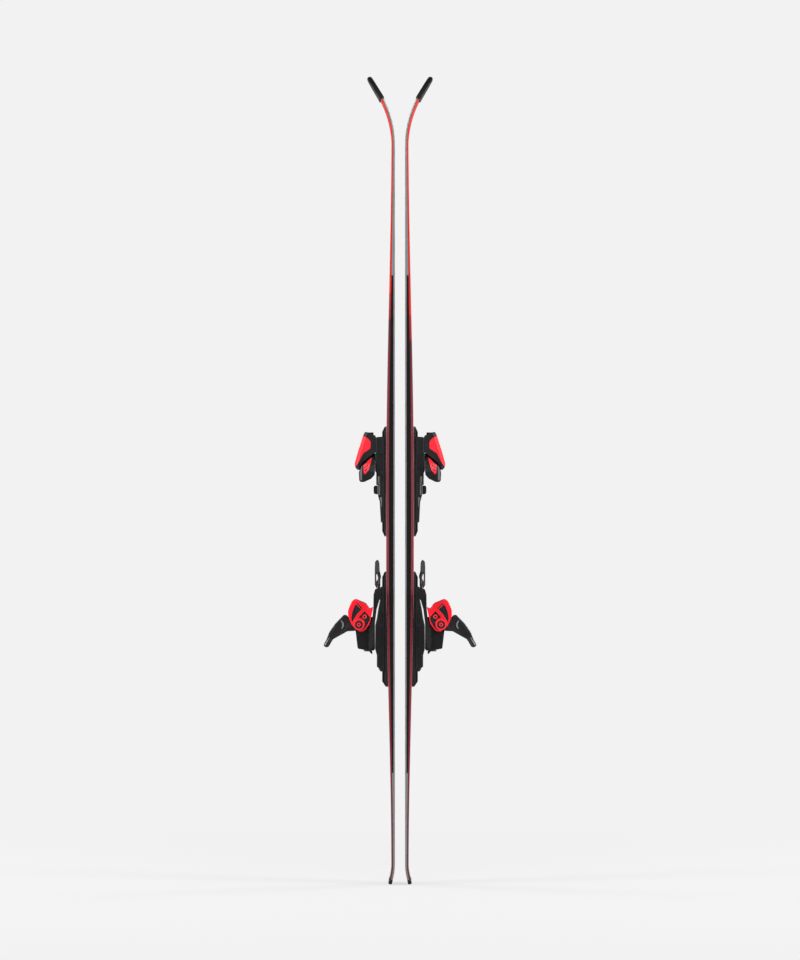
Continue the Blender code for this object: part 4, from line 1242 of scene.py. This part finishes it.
def brake():
    """Wire, pedal and arm ends."""
    path = spline(wire_path(), 4)
    publish("brake_wire_skin", tube(path, WIRE_RADIUS, 16), "brake", WIRE_STEEL,
            "brake_wire")
    sleeves = [tube([p for p in path if 604 < p.z < 619 and 20 < side * p.y < 26],
                    WIRE_RADIUS + 0.35, 20) for side in SIDES]
    publish("brake_sleeves", eased(gathered(sleeves), 0.3), "brake", SOFT_BLACK)
    loop = [(35.1, 655), (41.3, 655), (41.5, 648.9), (41.5, 615.3), (38.2, 609), (36.8, 606.9),
            (35.1, 615.3), (33.5, 624.8), (28.7, 628.9), (28.7, 633.2), (31.4, 643.8),
            (31.9, 655)]
    pad = [(35.1, 667.4), (40.9, 662.7), (41.5, 648.9), (41.5, 641), (31, 641), (31.4, 643.8),
           (32, 659.4)]
    body = join(moulded(loop, 2, 20.6, 0.8), moulded(pad, 3.5, 29.5, 1.2))
    window = prism(rounded([(38.4, 638.4), (34.9, 634.5), (34.9, 628.3), (38.2, 621)], 2), 40)
    tunnel = tube([p for p in path if p.z > 600 and abs(p.y) < 25], WIRE_RADIUS + 0.35, 14)
    high = [crossbar(41.75, z, 26, 0.55, 10) for z in (644.5, 647.5, 650.5, 653.5, 656.5)]
    low = [crossbar(41.75, z, 17, 0.5, 10) for z in range(619, 640, 3)]
    body = cut(body, window, tunnel, gathered(high), gathered(low))
    publish("brake_pedal_skin", body, "brake", [BLACK, PEDAL_GREY],
            "brake_pedal", 34, paint=lambda face: 1 if face.center.z < 655 else 0)
    bar = rounded([(38.2, 611), (39.3, 611.4), (41.0, 628.6), (39.4, 628.6)], 0.4, 3)
    publish("brake_pedal_trim", eased(gathered(twins(bar, 20.0, 21.0)), 0.2), "brake",
            DEEP_RED)

    cover = moulded(ARM, 2.5, (ARM_Y + 2.6, ARM_Y + 6.5), 0.8)
    end = keep(moulded(inset(ARM, 0.4), 2.5, (ARM_Y - 2.8, ARM_Y + 5), 0.8),
               prism(rectangle(36, 460, 60, 530), (0.01, 60)))
    socket = tube([(48.25, ARM_Y, 504.5), (45, ARM_Y, 532), (42.5, ARM_Y, 551)],
                  WIRE_RADIUS + 0.25, 16)
    slot = prism(rounded([(37.5, 590), (40, 590), (40.6, 568), (38.6, 568)], 1, 3),
                 (ARM_Y + 5.6, ARM_Y + 8))
    publish_pair("brake_arm", cut(join(cover, end), socket, slot), "brake",
                 SOFT_BLACK, "brake_tip_*", 34)
    lines = []
    for k in range(-4, 12):
        z = 484 + 4.2 * k
        for rise in (0, 24):
            lines.append(tube([(36, 48.5, z + rise), (60, 48.5, z + 24 - rise)], 0.42, 8))
    region = keep(prism(rounded(inset(ARM, 1.5), 4), (48.2, 49.2)),
                  prism(rectangle(36, 486, 60, 527), (40, 60)))
    grip = gathered([keep(line, region.copy()) for line in lines])
    publish_pair("brake_grip", grip, "brake", GRIP)


# ---- stage

PALE = linear(242, 242, 242)
LIGHT_AIM = Vector((0, 0, 0.8))
FILL_STRENGTH = 0.16              # of the light from all around


def area_light(name, place, power, width, height):
    light = bpy.data.lights.new(name, "AREA")
    light.shape = "RECTANGLE"
    light.energy = power
    light.size = width
    light.size_y = height
    lamp = linked(name, light)
    lamp.location = place
    lamp.rotation_euler = (LIGHT_AIM - Vector(place)).to_track_quat("-Z", "Y").to_euler()


def floor_disc():
    """Pale floor that fades into the surroundings."""
    floor = linked("floor", bpy.data.meshes.new("floor"))
    bm = bmesh.new()
    bmesh.ops.create_circle(bm, cap_ends=True, radius=5.0, segments=96)
    bm.to_mesh(floor.data)
    bm.free()
    floor.location.z = -0.0005
    paint = Finish("floor_paint")
    far = paint.node("VectorMath", paint.place, out="Value", settings=[("operation", "LENGTH")])
    fade = paint.range(far, 0.5, 2.2, shape="SMOOTHSTEP")
    near_glow, near_shade = 0.76, 0.15
    shade = paint.range(fade, 0.0, 1.0, near_shade, 0.0)
    paint.set(Base_Color=paint.node("CombineColor", shade, shade, shade), Roughness=0.9,
              Specular_IOR_Level=0.0, Emission_Color=PALE,
              Emission_Strength=paint.range(fade, 0.0, 1.0, near_glow, 1.0))
    floor.data.materials.append(paint.material)


def surroundings():
    """Pale for the camera, and a faint even light for everything else."""
    world = bpy.data.worlds.new("studio")
    SCENE.world = world
    world.use_nodes = True
    nodes, links = world.node_tree.nodes, world.node_tree.links
    light = nodes["Background"]
    light.inputs["Color"].default_value = (1, 1, 1, 1)
    light.inputs["Strength"].default_value = FILL_STRENGTH
    seen = nodes.new("ShaderNodeBackground")
    seen.inputs["Color"].default_value = PALE
    choose = nodes.new("ShaderNodeMixShader")
    ray = nodes.new("ShaderNodeLightPath").outputs["Is Camera Ray"]
    for socket, value in zip(choose.inputs, (ray, light.outputs[0], seen.outputs[0])):
        links.new(value, socket)
    links.new(choose.outputs[0], nodes["World Output"].inputs["Surface"])


def camera():
    """Level view of the skis' edges, from far away with a long lens."""
    picture_height = 1.9776
    distance = 12.0
    middle_height = 0.831
    lens = bpy.data.cameras.new("camera")
    lens.sensor_width = 36.0
    lens.lens = lens.sensor_width * distance / picture_height
    lens.clip_end = 100
    view = linked("camera", lens)
    view.location = (0, -distance, middle_height)
    view.rotation_euler = (pi / 2, 0, 0)
    SCENE.camera = view
    SCENE.view_settings.view_transform = "Standard"


def core_wood():
    """Wood for the model's own cores, which lie inside the layers."""
    for side in PLACES:
        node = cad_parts[f"{side}_core"]
        node.data.materials.clear()
        node.data.materials.append(WOOD)


camera()
floor_disc()
surroundings()
for sign, word in ((1, "right"), (-1, "left")):
    area_light(word, (sign * 3.2, -1.5, 1.8), 125, 1.2, 2.4)
    area_light(word + "_back", (sign * 3.0, 1.9, 1.4), 110, 1.2, 2.4)
area_light("front", (0.0, -3.6, 3.2), 60, 2.4, 1.2)
core_wood()
side_layers()
top_skin()
tip_protector()
tail_protector()
rail("toe_rail", 715.0, 941.0, [(-15, 731), (15, 731)], "toe_track")
rail("heel_rail", 406.0, 642.0, [(-15, 424), (15, 424), (-15, 625), (15, 625)], "heel_track")
toe_body()
toe_wings()
slotted(TOE_SPRING_X, 898, [(0, 2.5), (23, 2.5), (23.2, 6.6), (23.6, 7.0), (30.3, 7.0),
                            (31, 6.2)], 929, 7.0, "toe_setting_screw", "toe_screw",
        "toe_din_screw")
sliding_plate()
carriage()
tower()
slotted(HEEL_SPRING_X, 478, [(0, 7.0), (0.8, 7.7), (8.2, 7.7), (8.7, 3.0), (32, 3.0)], 478, 7.4,
        "heel_setting_screw", "heel_screw", "heel_din_screw")
cup()
lever()
brake()
